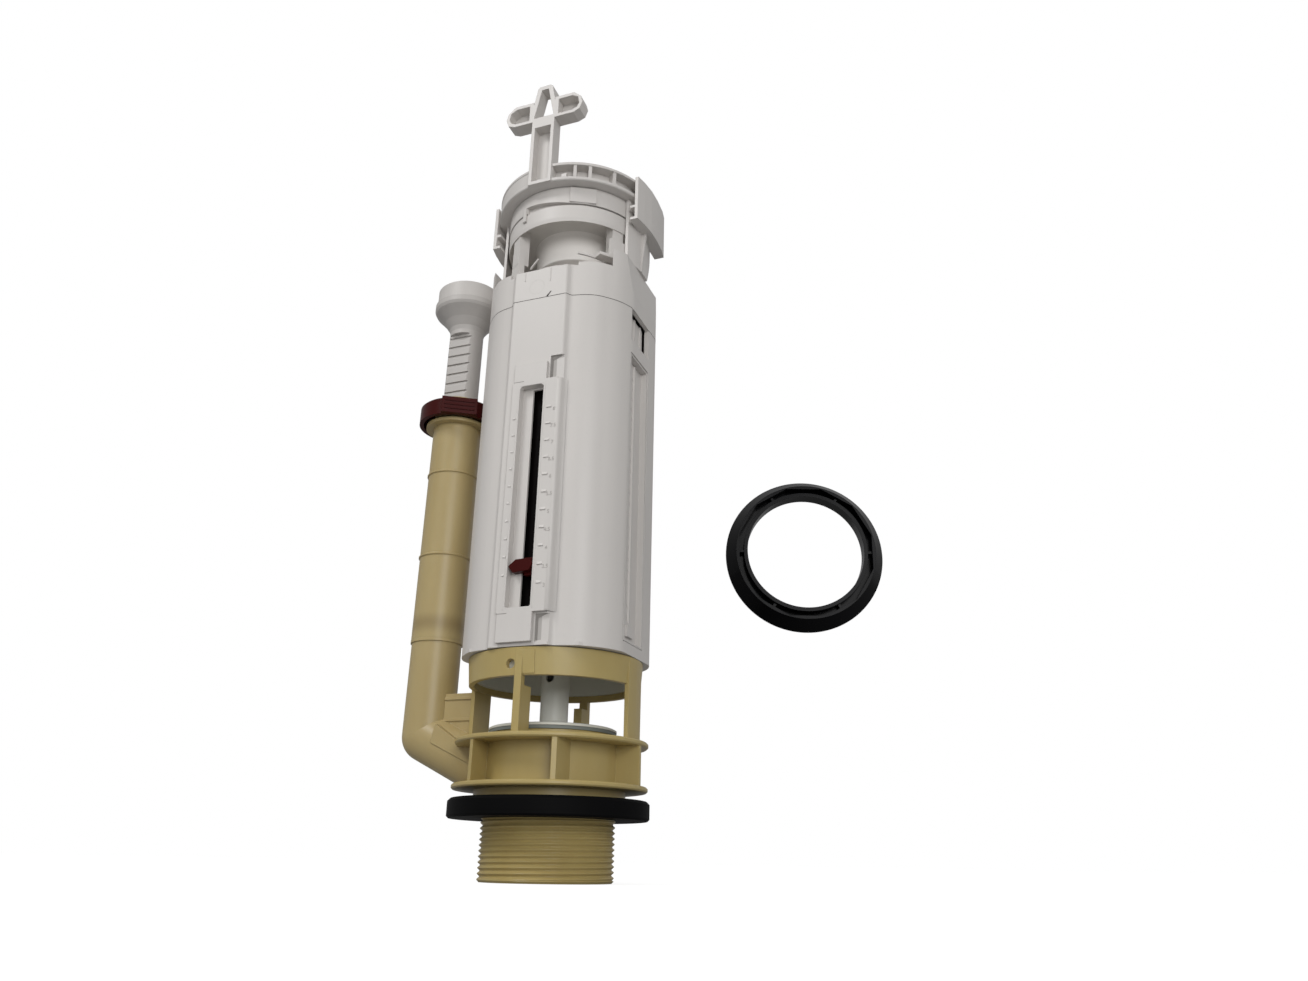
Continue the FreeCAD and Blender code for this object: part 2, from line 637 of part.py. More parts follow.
def make_washer_and_nut():
    node("sealing_washer", revolved("sealing_washer", [
        ("thread_radius - thread_relief + washer_clear", "0.8"),
        ("thread_radius + 0.3", "0"),
        ("washer_radius - 0.8", "0"),
        ("washer_radius", "0.8"),
        ("washer_radius", "washer_thick - 1.2"),
        ("washer_radius - 1.2", "washer_thick"),
        ("thread_radius - thread_relief + washer_clear", "washer_thick"),
    ]))
    solid = revolved("nut_turned", [
        ("nut_bore + 2", "0"),
        ("nut_radius - 0.8", "0"),
        ("nut_radius", "0.8"),
        ("nut_radius", "1.6"),
        ("nut_radius - nut_rim", "nut_thick"),
        ("nut_bore", "nut_thick"),
        ("nut_bore", "nut_thick - nut_thread_length"),
    ])
    reach = "nut_radius - nut_rim - 0.5"
    flats = []
    count = int(number("nut_sides"))
    for index in range(count):
        turn = "%d * 360 / nut_sides" % index
        flats.append(("(%s) * cos(%s)" % (reach, turn), "(%s) * sin(%s)" % (reach, turn)))
    pocket = prism("nut_pocket", "XY_Plane", flats, "nut_thick - nut_channel", "nut_thick + 1")
    core = cylinder("nut_core", "nut_bore + nut_wall", "0", "nut_thick + 2")
    recess = cut("nut_recess", pocket, core)
    webs = []
    for index in range(6):
        web = block("nut_web_%d" % index, "nut_bore + nut_wall - 0.5",
                    "nut_radius - nut_rim - 0.8", "-0.7", "0.7",
                    "nut_thick - nut_channel - 0.5", "nut_thick - 1.6")
        webs.append(turned("nut_web_turned_%d" % index, web, "%d" % (index * 60 + 15)))
    nut = fuse("nut_body", cut("nut_cut", solid, recess), *webs)
    standing = doc.addObject("Part::Compound", "nut_standing")
    standing.Links = [nut]
    standing.Placement = FreeCAD.Placement(
        FreeCAD.Vector(0, 0, 0), FreeCAD.Rotation(FreeCAD.Vector(1, 0, 0), 90))
    tie(standing, "Placement.Base.z", "nut_height")
    node("lock_nut", turned(
        "lock_nut", standing, "nut_turn * 1deg",
        "nut_x - nut_thick * sin(nut_turn * 1deg)",
        "nut_y + nut_thick * cos(nut_turn * 1deg)"))


def make_standpipe():
    """Upper overflow pipe with its beads, flange and the spigot that plugs into the socket."""
    def bead(middle):
        return [
            ("pipe_radius", "%s - bead_width / 2" % middle),
            ("pipe_radius + bead_height", "%s - bead_width / 4" % middle),
            ("pipe_radius + bead_height", "%s + bead_width / 4" % middle),
            ("pipe_radius", "%s + bead_width / 2" % middle),
        ]
    groove = "socket_top - spigot_depth / 2"
    section = [
        ("spigot_radius - pipe_wall", "socket_top - spigot_depth"),
        ("spigot_radius - 0.4", "socket_top - spigot_depth"),
        ("spigot_radius", "socket_top - spigot_depth + 0.6"),
        ("spigot_radius", "%s - oring_thick" % groove),
        ("spigot_radius - 0.8", "%s - oring_thick" % groove),
        ("spigot_radius - 0.8", "%s + oring_thick" % groove),
        ("spigot_radius", "%s + oring_thick" % groove),
        ("spigot_radius", "socket_top"),
        ("pipe_radius", "socket_top"),
    ]
    section += bead("bead_low") + bead("bead_high")
    section += [
        ("pipe_radius", "flange_low"),
        ("flange_radius", "flange_low"),
        ("flange_radius", "flange_top"),
        ("pipe_radius", "flange_top"),
        ("pipe_radius", "standpipe_top"),
        ("pipe_radius - pipe_wall", "standpipe_top"),
        ("pipe_radius - pipe_wall", "socket_top + 5"),
        ("spigot_radius - pipe_wall", "socket_top + 2"),
    ]
    node("overflow_standpipe", revolved("overflow_standpipe", section, "0 - pipe_offset"))
    node("standpipe_seal", pipe("standpipe_seal", "pipe_inner - 0.02", "spigot_radius - 0.8",
                                "%s - oring_thick * 0.9" % groove,
                                "%s + oring_thick * 0.9" % groove, "0 - pipe_offset"))
    node("riser_seal", pipe("riser_seal", "pipe_radius - pipe_wall",
                            "riser_radius + slide_gap", "flange_top - 4", "flange_top - 0.5",
                            "0 - pipe_offset"))


def make_collar():
    """Dark red collar that locks the riser, with a flat clasp."""
    low = "flange_top + slide_gap"
    shell = revolved("collar_shell", [
        ("pipe_radius + collar_clear", "collar_top - collar_top_thick"),
        ("collar_radius - collar_wall", "collar_top - collar_top_thick"),
        ("collar_radius - collar_wall", low),
        ("collar_radius", low),
        ("collar_radius", "collar_top - 0.8"),
        ("collar_radius - 0.8", "collar_top"),
        ("pipe_radius + collar_clear", "collar_top"),
    ])
    clasp = block("clasp_plate", "collar_radius - collar_wall", "collar_radius + 0.6",
                  "0 - clasp_width / 2", "clasp_width / 2", low, "collar_top - 0.4")
    ribs = []
    for index in range(3):
        level = "(%s) + collar_height * %.2f" % (low, 0.22 + 0.24 * index)
        ribs.append(block("clasp_rib_%d" % index, "collar_radius", "collar_radius + 1.0",
                          "1.5 - clasp_width / 2", "clasp_width / 2 - 1.5", level,
                          "(%s) + 0.7" % level))
    stack = fuse("clasp", clasp, *ribs)
    body = fuse("collar_body", shell, turned("clasp_turned", stack, "clasp_angle"))
    holder = place(doc.addObject("Part::Compound", "lock_collar"), "0 - pipe_offset")
    holder.Links = [body]
    node("lock_collar", holder)


def make_riser():
    """Sliding riser with its height notches, cone and mouth, and the ring on the mouth."""
    inner = "riser_radius - riser_wall"
    body = revolved("riser_turned", [
        (inner, "riser_low"),
        ("riser_radius", "riser_low"),
        ("riser_radius", "cone_low"),
        ("riser_radius + 0.7", "cone_low + 2.4"),
        ("riser_radius + 3.6", "cone_low + 6.6"),
        ("funnel_radius - 3", "mouth_low - 3"),
        ("funnel_radius - 0.8", "mouth_low - 0.9"),
        ("funnel_radius", "mouth_low + 0.6"),
        ("funnel_radius", "mouth_top"),
        ("funnel_radius - riser_wall", "mouth_top"),
        ("funnel_radius - riser_wall", "mouth_low + 1.4"),
        ("riser_radius + 2", "cone_low + 7.6"),
        (inner, "cone_low + 2"),
    ], "0 - pipe_offset")
    pitch_top = "notch_first + 1.5"
    bottom = "notch_first - notch_pitch * notch_count - 30"
    flat = block("ladder_flat", "0 - riser_radius - pipe_offset", "riser_radius - pipe_offset",
                 "0 - riser_radius - 1", "ladder_depth - riser_radius", bottom, pitch_top)
    backing = common("ladder_backing",
                     cylinder("ladder_round", "riser_radius", bottom, pitch_top,
                              "0 - pipe_offset"),
                     block("ladder_slab", "0 - riser_radius - pipe_offset",
                           "riser_radius - pipe_offset", "ladder_depth - riser_radius",
                           "ladder_depth + riser_wall - riser_radius", bottom, pitch_top))
    flatted = fuse("riser_flatted", cut("riser_cut", body, flat), backing)
    notches = []
    count = int(number("notch_count"))
    for index in range(count):
        top = "notch_first - notch_pitch * %d" % index
        face = "ladder_depth - riser_radius"
        notches.append(prism("notch_%d" % index, "YZ_Plane", [
            ("(%s) - 0.1" % face, top),
            ("(%s) + notch_depth" % face, top),
            ("(%s) - 0.1" % face, "%s - notch_pitch * 0.45" % top),
        ], "0 - pipe_offset - riser_radius", "riser_radius - pipe_offset"))
    node("riser_tube", cut("riser_tube", flatted, *notches))
    rim = "funnel_radius - rim_step"
    node("funnel_rim", revolved("funnel_rim", [
        ("funnel_radius - riser_wall", "mouth_top"),
        (rim, "mouth_top"),
        (rim, "mouth_top + rim_height - 0.8"),
        ("%s - 0.8" % rim, "mouth_top + rim_height"),
        ("%s - riser_wall" % rim, "mouth_top + rim_height"),
        ("%s - riser_wall" % rim, "mouth_top + 1"),
    ], "0 - pipe_offset"))


def make_casing():
    """Tall fluted shell with the front opening, clip windows and the side recess."""
    outer = prism("casing_outer", "XY_Plane", shell_outline("shell_draft"), "casing_low",
                  "seam_height", "atan(shell_draft / (seam_height - casing_low))")
    inner = prism("casing_inner", "XY_Plane", shell_outline("shell_wall + shell_draft"),
                  "casing_low - 1", "seam_height + 1")
    front = block("front_opening", "0 - slot_half - tray_wall - fit_gap",
                  "slot_half + tray_wall + fit_gap", "0 - panel_y", "0 - floor_y + 6",
                  "slot_low - tray_wall - fit_gap", "slot_high + tray_wall + fit_gap")
    clips = []
    for level, low in (("high", "panel_high + fit_gap"), ("low", "tab_low - 0.4")):
        clips.append(block("clip_window_" + level, "tab_right + 1", "tab_right + 1 + clip_width",
                           "0 - panel_y", "1.3 - front_depth", low,
                           "%s + clip_height" % low))
    side = block("side_opening", "side_x - 8", "side_x + 1", "0 - side_slot_front",
                 "side_slot_back", "side_slot_low", "side_slot_high")
    gap = block("side_gap", "side_x - 8", "side_x + 1", "0 - side_slot_front",
                "side_slot_back", "side_gap_low", "seam_height + 1")
    shell = cut("casing_open", cut("casing_hollow", eased("casing_eased", outer), inner),
                front, side, gap, *clips)
    # The bead inside the lower lip rests on the ring of the cage.
    seat = cut("casing_seat_ring",
               prism("casing_seat", "XY_Plane", shell_outline("shell_draft + 0.4"),
                     "casing_low", "casing_low + 1.6"),
               cylinder("casing_seat_hole", "skirt_radius + 0.3", "casing_low - 1",
                        "casing_low + 3"))
    node("casing_shell", fuse("casing_shell", shell, seat))


def make_scale_panel():
    """Front plate with tabs; its slot is a tray with a slit in the floor."""
    face = "0 - panel_y"
    back = "0 - front_depth - 0.02"
    plate = block("panel_plate", "0 - panel_half", "panel_right", face, back, "panel_low",
                  "panel_high")
    tabs = [
        block("panel_tab_low", "0 - panel_half + 0.6", "tab_right", face, back, "tab_low",
              "panel_low"),
        block("panel_tab_high", "0 - panel_half + 0.6", "tab_right", face, back, "panel_high",
              "tab_high"),
    ]
    tray = block("tray_outer", "0 - slot_half - tray_wall", "slot_half + tray_wall", face,
                 "0 - floor_y + tray_wall", "slot_low - tray_wall", "slot_high + tray_wall")
    slot = block("slot_space", "0 - slot_half", "slot_half", "0 - panel_y - 1", "0 - floor_y",
                 "slot_low", "slot_high")
    slit = block("slit_space", "slit_left", "slit_right", "0 - floor_y - 1",
                 "0 - floor_y + tray_wall + 1", "slot_low + 1", "slot_high - 1")
    node("scale_panel", cut("scale_panel", fuse("panel_solid", plate, tray, *tabs), slot, slit))
    liner_face = "0 - floor_y + tray_wall"
    liner = block("liner_solid", "0 - slot_half - tray_wall", "slot_half + tray_wall", liner_face,
                  "(%s) + 1.7 + liner_thick" % liner_face, "slot_low", "slot_high")
    liner_space = block("liner_space", "0 - slot_half + 0.4", "slot_half - 0.2",
                        "(%s) - 1" % liner_face, "(%s) + 1.7" % liner_face,
                        "slot_low + 1", "slot_high - 1")
    node("slot_liner", cut("slot_liner", liner, liner_space))


def make_full_flush_slider():
    """Dark red slider: pointed head in the slot, neck through the slit, foot behind it."""
    half = "slot_half - slide_gap"
    head = prism("slider_head", "XZ_Plane", [
        ("0 - (%s)" % half, "slider_height"),
        ("2.2 - (%s)" % half, "slider_height - slider_tall / 2"),
        ("(%s) - 1.8" % half, "slider_height - slider_tall / 2 + 0.6"),
        (half, "slider_height + 0.6"),
        ("(%s) - 1.6" % half, "slider_height + slider_tall / 2"),
        ("3.4 - (%s)" % half, "slider_height + slider_tall / 2 - 0.3"),
    ], "floor_y + slide_gap", "panel_y - 0.4")
    neck = block("slider_neck", "slit_left + slide_gap", "slit_right - slide_gap",
                 "0 - floor_y - slide_gap - 0.5", "0 - floor_y + tray_wall + slide_gap",
                 "slider_height - slider_tall / 2 - 1", "slider_height + slider_tall / 2 + 1")
    foot = block("slider_foot", "slit_left - 2", "slit_right + 0.3",
                 "0 - floor_y + tray_wall + slide_gap",
                 "0 - floor_y + tray_wall + slide_gap + 1",
                 "slider_height - slider_tall / 2", "slider_height + slider_tall / 2")
    node("full_flush_slider", fuse("full_flush_slider", head, neck, foot))


def make_side_scale():
    """Side recess: a tray behind the casing's flat side, and the half flush slider in it."""
    front = "0 - side_slot_front + fit_gap"
    back = "side_slot_back - fit_gap"
    low = "side_slot_low + fit_gap"
    high = "side_slot_high - fit_gap"
    outer = block("side_tray_outer", "side_floor_x - side_tray_wall", "side_x - shell_draft",
                  front, back, low, high)
    space = block("side_tray_space", "side_floor_x", "side_x + 1", "(%s) + 1" % front,
                  "(%s) - 1" % back, "(%s) + 1" % low, "(%s) - 1" % high)
    lips = block("side_tray_lips", "side_floor_x - side_tray_wall", "side_x - shell_wall - 0.9",
                 "(%s) - 1" % front, "(%s) + 1" % back, low, "(%s) + 2" % high)
    back_wall = block("side_tray_back", "side_floor_x - side_tray_wall", "side_floor_x",
                      "(%s) + 1" % front, "(%s) - 1" % back, high, "seam_height - 0.4")
    ribs = []
    for index, middle in enumerate((-12.0, -6.2, 1.6)):
        ribs.append(block("side_tray_rib_%d" % index, "side_floor_x - 0.2",
                          "side_floor_x + 0.6", "%s - 0.6" % middle, "%s + 0.6" % middle,
                          "(%s) + 1.5" % high, "seam_height - 0.4"))
    node("side_scale", cut("side_scale", fuse("side_tray_solid", outer, lips, back_wall,
                                              *ribs), space))
    slider_front = "0 - side_slot_front + fit_gap + 1 + slide_gap"
    slider_low = "side_slot_low + fit_gap + 1 + slide_gap"
    plate = block("half_slider_plate", "side_floor_x + slide_gap",
                  "side_floor_x + slide_gap + 1.6", slider_front,
                  "(%s) + half_slider_wide" % slider_front, slider_low,
                  "(%s) + half_slider_tall" % slider_low)
    grip = block("half_slider_grip", "side_floor_x + 1.5", "side_floor_x + slide_gap + 2.8",
                 "(%s) + 3" % slider_front, "(%s) + half_slider_wide - 2" % slider_front,
                 "(%s) + 1.4" % slider_low, "(%s) + half_slider_tall - 2" % slider_low)
    node("half_flush_slider", fuse("half_flush_slider", plate, grip))


def make_float_chamber():
    """White chamber: skirt inside the cage ring, floor with the stem's hole, tall wall."""
    node("float_chamber", revolved("float_chamber", [
        ("stem_radius + stem_clear", "chamber_floor"),
        ("chamber_radius", "chamber_floor"),
        ("skirt_radius - chamber_wall", "chamber_floor - 4.5"),
        ("skirt_radius - chamber_wall", "skirt_low"),
        ("skirt_radius", "skirt_low"),
        ("skirt_radius", "casing_low + 1.8"),
        ("chamber_radius + chamber_wall", "chamber_floor + 2.4"),
        ("chamber_radius + chamber_wall", "chamber_top"),
        ("chamber_radius", "chamber_top"),
        ("chamber_radius", "chamber_floor + 2.6"),
        ("stem_radius + stem_clear", "chamber_floor + 2.6"),
    ]))


def make_flush_train():
    """Stem, seal plate, seal, retainer, float and lift rod, which rise together."""
    inner = "stem_radius - stem_wall"
    tube = revolved("stem_turned", [
        (inner, "seal_plate_top"),
        ("stem_radius + 2.5", "seal_plate_top"),
        ("stem_radius + 2.5", "seal_plate_top + 1.2"),
        ("stem_radius", "seal_plate_top + 3.5"),
        ("stem_radius", "stem_top"),
        (inner, "stem_top"),
    ])
    drain = cylinder("stem_drain", "stem_hole_radius", "0", "1")
    drain.Placement = FreeCAD.Placement(
        FreeCAD.Vector(0, 0, 0), FreeCAD.Rotation(FreeCAD.Vector(1, 0, 0), 90))
    tie(drain, "Height", "stem_radius + 4")
    tie(drain, "Placement.Base.z", "stem_hole_height")
    node("valve_stem", cut("valve_stem", tube, drain))
    node("seal_plate", revolved("seal_plate", [
        ("0", "seal_top"),
        ("seal_radius", "seal_top"),
        ("seal_radius", "seal_plate_top - 0.4"),
        ("seal_radius - 0.8", "seal_plate_top"),
        ("0", "seal_plate_top"),
    ]))
    node("flat_seal", pipe("flat_seal", "seal_radius - 0.2", "bore_radius / 3", "seat_top",
                           "seal_top"))
    node("seal_retainer", revolved("seal_retainer", [
        ("0", "seat_top - retainer_thick"),
        ("retainer_radius - 1", "seat_top - retainer_thick"),
        ("retainer_radius", "seat_top - retainer_thick + 1"),
        ("retainer_radius", "seat_top"),
        ("bore_radius / 3 - 0.2", "seat_top"),
        ("bore_radius / 3 - 0.2", "seal_top"),
        ("0", "seal_top"),
    ]))
    main_top = "main_float_low + main_float_tall"
    node("full_flush_float", revolved("full_flush_float", [
        ("stem_radius", "main_float_low"),
        ("stem_radius + float_wall", "main_float_low"),
        ("stem_radius + float_wall", "%s - float_wall" % main_top),
        ("chamber_radius - float_gap - float_wall", "%s - float_wall" % main_top),
        ("chamber_radius - float_gap - float_wall", "main_float_low"),
        ("chamber_radius - float_gap", "main_float_low"),
        ("chamber_radius - float_gap", "%s - 1.5" % main_top),
        ("chamber_radius - float_gap - 1.5", main_top),
        ("stem_radius", main_top),
    ]))
    node("lift_rod", revolved("lift_rod", [
        ("0", "stem_top - 14"),
        (inner, "stem_top - 14"),
        (inner, "stem_top"),
        ("rod_radius", "stem_top"),
        ("rod_radius", "rod_head_top - 3.5"),
        ("rod_head_radius", "rod_head_top - 3.5"),
        ("rod_head_radius", "rod_head_top - 0.8"),
        ("rod_head_radius - 0.8", "rod_head_top"),
        ("0", "rod_head_top"),
    ]))


def make_half_float():
    """Half flush float, loose on the stem above the full flush float."""
    top = "half_float_low + half_float_tall"
    node("half_flush_float", revolved("half_flush_float", [
        ("stem_radius + 0.3", "half_float_low"),
        ("stem_radius + 0.3 + float_wall", "half_float_low"),
        ("stem_radius + 0.3 + float_wall", "%s - float_wall" % top),
        ("chamber_radius - 8 - float_wall", "%s - float_wall" % top),
        ("chamber_radius - 8 - float_wall", "half_float_low"),
        ("chamber_radius - 8", "half_float_low"),
        ("chamber_radius - 8", "%s - 1" % top),
        ("chamber_radius - 9", top),
        ("stem_radius + 0.3", top),
    ]))


def make_cap():
    """Cap on the casing with the round opening, the ledge for the cup and two shoulders."""
    outer = prism("cap_outer", "XY_Plane", shell_outline("0"), "seam_height", "shoulder_top")
    low_front = block("cap_low_front", "0 - step_x", "step_x", "-60", "60", "cap_top",
                      "shoulder_top + 1")
    low_side = block("cap_low_side", "0 - shoulder_x", "shoulder_x", "-60", "60", "step_top",
                     "shoulder_top + 1")
    leans = []
    for side, sign in (("right", 1), ("left", -1)):
        leans.append(prism("cap_lean_" + side, "XZ_Plane", [
            ("%d * side_x" % sign, "shoulder_low"),
            ("%d * (side_x + 5)" % sign, "shoulder_low"),
            ("%d * (side_x + 5)" % sign, "shoulder_top + 2"),
            ("%d * (shoulder_edge - 0.2)" % sign, "shoulder_top + 2"),
        ], "-50", "50"))
    hollow = prism("cap_hollow", "XY_Plane", shell_outline("shell_wall"), "seam_height - 1",
                   "cup_low - ledge_thick - 0.3")
    opening = cylinder("cap_opening_cut", "cap_opening", "cup_low - 0.3", "shoulder_top + 1")
    ledge = cylinder("cap_ledge_cut", "ledge_radius", "cup_low - ledge_thick - 1",
                     "shoulder_top + 1")
    clear = cylinder("cap_leg_clear", "leg_inner - 0.2", "cap_top + 0.5", "shoulder_top + 1")
    node("casing_cap", cut("casing_cap", eased("cap_eased", outer), low_front, low_side, hollow, opening, ledge,
                           clear, *leans))


def make_actuator_cup():
    """Open cup with a coned underside; the lift rod comes up through its floor."""
    body = revolved("cup_turned", [
        ("bush_radius", "cup_low"),
        ("cup_body_radius - cup_step", "cup_low"),
        ("cup_body_radius - cup_step", "cup_foot"),
        ("cup_body_radius", "cup_foot"),
        ("cup_body_radius", "cup_cone_low"),
        ("cup_radius - 0.3", "cup_cone_high"),
        ("cup_radius", "cup_cone_high + 2.2"),
        ("cup_radius", "cup_top"),
        ("cup_radius - cup_wall", "cup_top"),
        ("cup_radius - cup_wall", "cup_shoulder"),
        ("cup_body_radius - cup_wall", "cup_cone_low + cup_wall"),
        ("cup_body_radius - cup_wall", "cup_foot + 1.2"),
        ("cup_body_radius - cup_step - 1.3", "cup_foot + 1.2"),
        ("cup_body_radius - cup_step - 1.3", "cup_low + cup_wall"),
        ("bush_radius", "cup_low + cup_wall"),
    ])
    lugs = []
    plate_ring = pipe("lug_plate_ring", "leg_inner - 0.35", "leg_inner - 1.9", "shoulder_top",
                      "shoulder_top + 11")
    foot_ring = pipe("lug_foot_ring", "leg_inner - 0.35", "cup_body_radius - 0.5",
                     "shoulder_top - 1", "shoulder_top + 0.8")
    plate = common("lug_plate", plate_ring, block("lug_plate_zone", "30", "45", "-5.5", "4.5",
                                                  "shoulder_top - 2", "shoulder_top + 12"))
    foot = common("lug_foot", foot_ring, block("lug_foot_zone", "30", "45", "-11", "4.5",
                                               "shoulder_top - 2", "shoulder_top + 2"))
    lug = fuse("lug", plate, foot)
    for index, angle in enumerate((-30, 150)):
        lugs.append(turned("lug_turned_%d" % index, lug, "%d" % angle))
    cup_rib = block("cup_rib", "cup_body_radius - 0.5", "cap_opening + 1.2", "-4", "4",
                    "cap_top + 1", "cup_cone_low + 1")
    for index, angle in enumerate((-126, 54)):
        lugs.append(turned("cup_rib_turned_%d" % index, cup_rib, "%d" % angle))
    node("actuator_cup", fuse("actuator_cup", body, *lugs))
    node("guide_bush", revolved("guide_bush", [
        ("rod_radius + rod_clear", "cup_low"),
        ("bush_radius", "cup_low"),
        ("bush_radius", "cup_low + cup_wall"),
        ("bush_radius + 2.4", "cup_low + cup_wall"),
        ("bush_radius + 2.4", "cup_low + cup_wall + 1.6"),
        ("rod_radius + 2", "cup_low + cup_wall + 1.6"),
        ("rod_radius + 2", "cup_low + cup_wall + 8"),
        ("rod_radius + rod_clear", "cup_low + cup_wall + 8"),
    ]))


def make_bayonet_ring():
    """Ring that turns on the cup, with a hook and a ramp on its lower edge."""
    sleeve = "cup_radius - cup_wall - slide_gap"
    body = revolved("bayonet_turned", [
        ("bayonet_radius - bayonet_wall", "bayonet_low - bayonet_sleeve"),
        (sleeve, "bayonet_low - bayonet_sleeve"),
        (sleeve, "bayonet_low"),
        ("bayonet_radius", "bayonet_low"),
        ("bayonet_radius", "bayonet_top"),
        ("bayonet_radius - bayonet_wall", "bayonet_top"),
    ])
    ramp = prism("ramp", "XZ_Plane", [
        ("-14", "bayonet_low - 1"),
        ("14", "bayonet_low - 1"),
        ("14", "bayonet_low"),
        ("-14", "bayonet_low + ramp_rise"),
    ], "bayonet_radius - 4", "bayonet_radius + 4")
    ramp_zone = pipe("ramp_zone", "bayonet_radius + 1", "cup_radius - cup_wall", "bayonet_low - 2",
                     "bayonet_top")
    ramp_cut = common("ramp_cut", ramp, ramp_zone)
    cuts = [turned("ramp_front", ramp_cut, "-2"), turned("ramp_back", ramp_cut, "178")]
    hooks = []
    for index, angle in enumerate((-113, 67)):
        hook = block("hook_%d" % index, "cup_radius + slide_gap", "bayonet_radius + 0.6",
                     "-1.2", "1.2", "bayonet_low - 5", "bayonet_low + 3.5")
        root = block("hook_root_%d" % index, "bayonet_radius - 1.5", "bayonet_radius + 0.6",
                     "-1.2", "1.2", "bayonet_low", "bayonet_low + 3.5")
        hooks.append(turned("hook_turned_%d" % index, fuse("hook_whole_%d" % index, hook, root),
                            "%d" % angle))
    grip = block("bayonet_step", "bayonet_radius - 0.4", "bayonet_radius + 0.35", "-7", "7",
                 "bayonet_low + 0.6", "bayonet_top - 0.6")
    grips = [turned("step_right", grip, "-62"), turned("step_left", grip, "118")]
    node("bayonet_ring", fuse("bayonet_ring", cut("bayonet_cut", body, *cuts), *hooks, *grips))


def handle_pieces():
    """Lift handle: channel stem, two finger pads open to the front, and the arch."""
    front = "0 - handle_front"
    back = "handle_depth - handle_front"
    stem = block("handle_stem", "handle_x - stem_half", "handle_x + stem_half", front, back,
                 "top_low", "pad_low")
    channel = block("handle_channel", "handle_x - stem_half + handle_wall",
                    "handle_x + stem_half - handle_wall", "%s - 1" % front,
                    "(%s) - handle_wall" % back, "top_low + flange_wall", "pad_low - 4.5")

    def pad_outline(inset, sign):
        """D shape of a finger pad, straight side towards the stem."""
        reach = "pad_reach - %s" % inset
        corner = "5.2 - 0.6 * %s" % inset
        middle = "(pad_low + pad_high) / 2"
        tall = "(pad_high - pad_low)"
        points = [
            ("stem_half - 0.2 + 1.2 * %s" % inset, "pad_low + %s" % inset),
            ("%s - (%s)" % (reach, corner), "pad_low + %s" % inset),
            ("%s - 0.3 * (%s)" % (reach, corner), "pad_low + 0.3 * (%s) + %s" % (corner, inset)),
            (reach, "%s - %s * 0.08" % (middle, tall)),
            ("%s - 0.2 * (%s)" % (reach, corner), "%s + %s * 0.22" % (middle, tall)),
            ("%s - (%s)" % (reach, corner), "pad_high - %s" % inset),
            ("stem_half - 0.2 + 1.2 * %s" % inset, "pad_high - %s" % inset),
        ]
        return [("handle_x + %d * (%s)" % (sign, x), z) for x, z in points]

    pads = []
    hollows = []
    for side, sign in (("right", 1), ("left", -1)):
        pads.append(prism("pad_" + side, "XZ_Plane", pad_outline("0", sign),
                          "handle_front - handle_depth", "handle_front"))
        hollows.append(prism("pad_hollow_" + side, "XZ_Plane", pad_outline("handle_wall", sign),
                             "handle_front - handle_depth + handle_wall", "handle_front + 1"))
    bar = block("handle_bar", "handle_x - stem_half", "handle_x + stem_half", front, back,
                "pad_low - 1", "pad_low + 2.2")
    arch_outer = prism("arch_outer", "XZ_Plane", [
        ("handle_x - stem_half - 1.6", "pad_low + 2"),
        ("handle_x - arch_half - 0.8", "arch_top - 1"),
        ("handle_x - arch_half + 0.4", "arch_top"),
        ("handle_x + arch_half - 0.4", "arch_top"),
        ("handle_x + arch_half + 0.8", "arch_top - 1"),
        ("handle_x + stem_half + 1.6", "pad_low + 2"),
    ], "handle_front - handle_depth", "handle_front")
    arch_inner = prism("arch_inner", "XZ_Plane", [
        ("handle_x - stem_half + 0.8", "pad_low + 2.2"),
        ("handle_x - arch_half + 1.6", "arch_top - 2.4"),
        ("handle_x + arch_half - 1.6", "arch_top - 2.4"),
        ("handle_x + stem_half - 0.8", "pad_low + 2.2"),
    ], "handle_front - handle_depth - 1", "handle_front + 1")
    return [stem, bar, arch_outer] + pads, [channel, arch_inner] + hollows


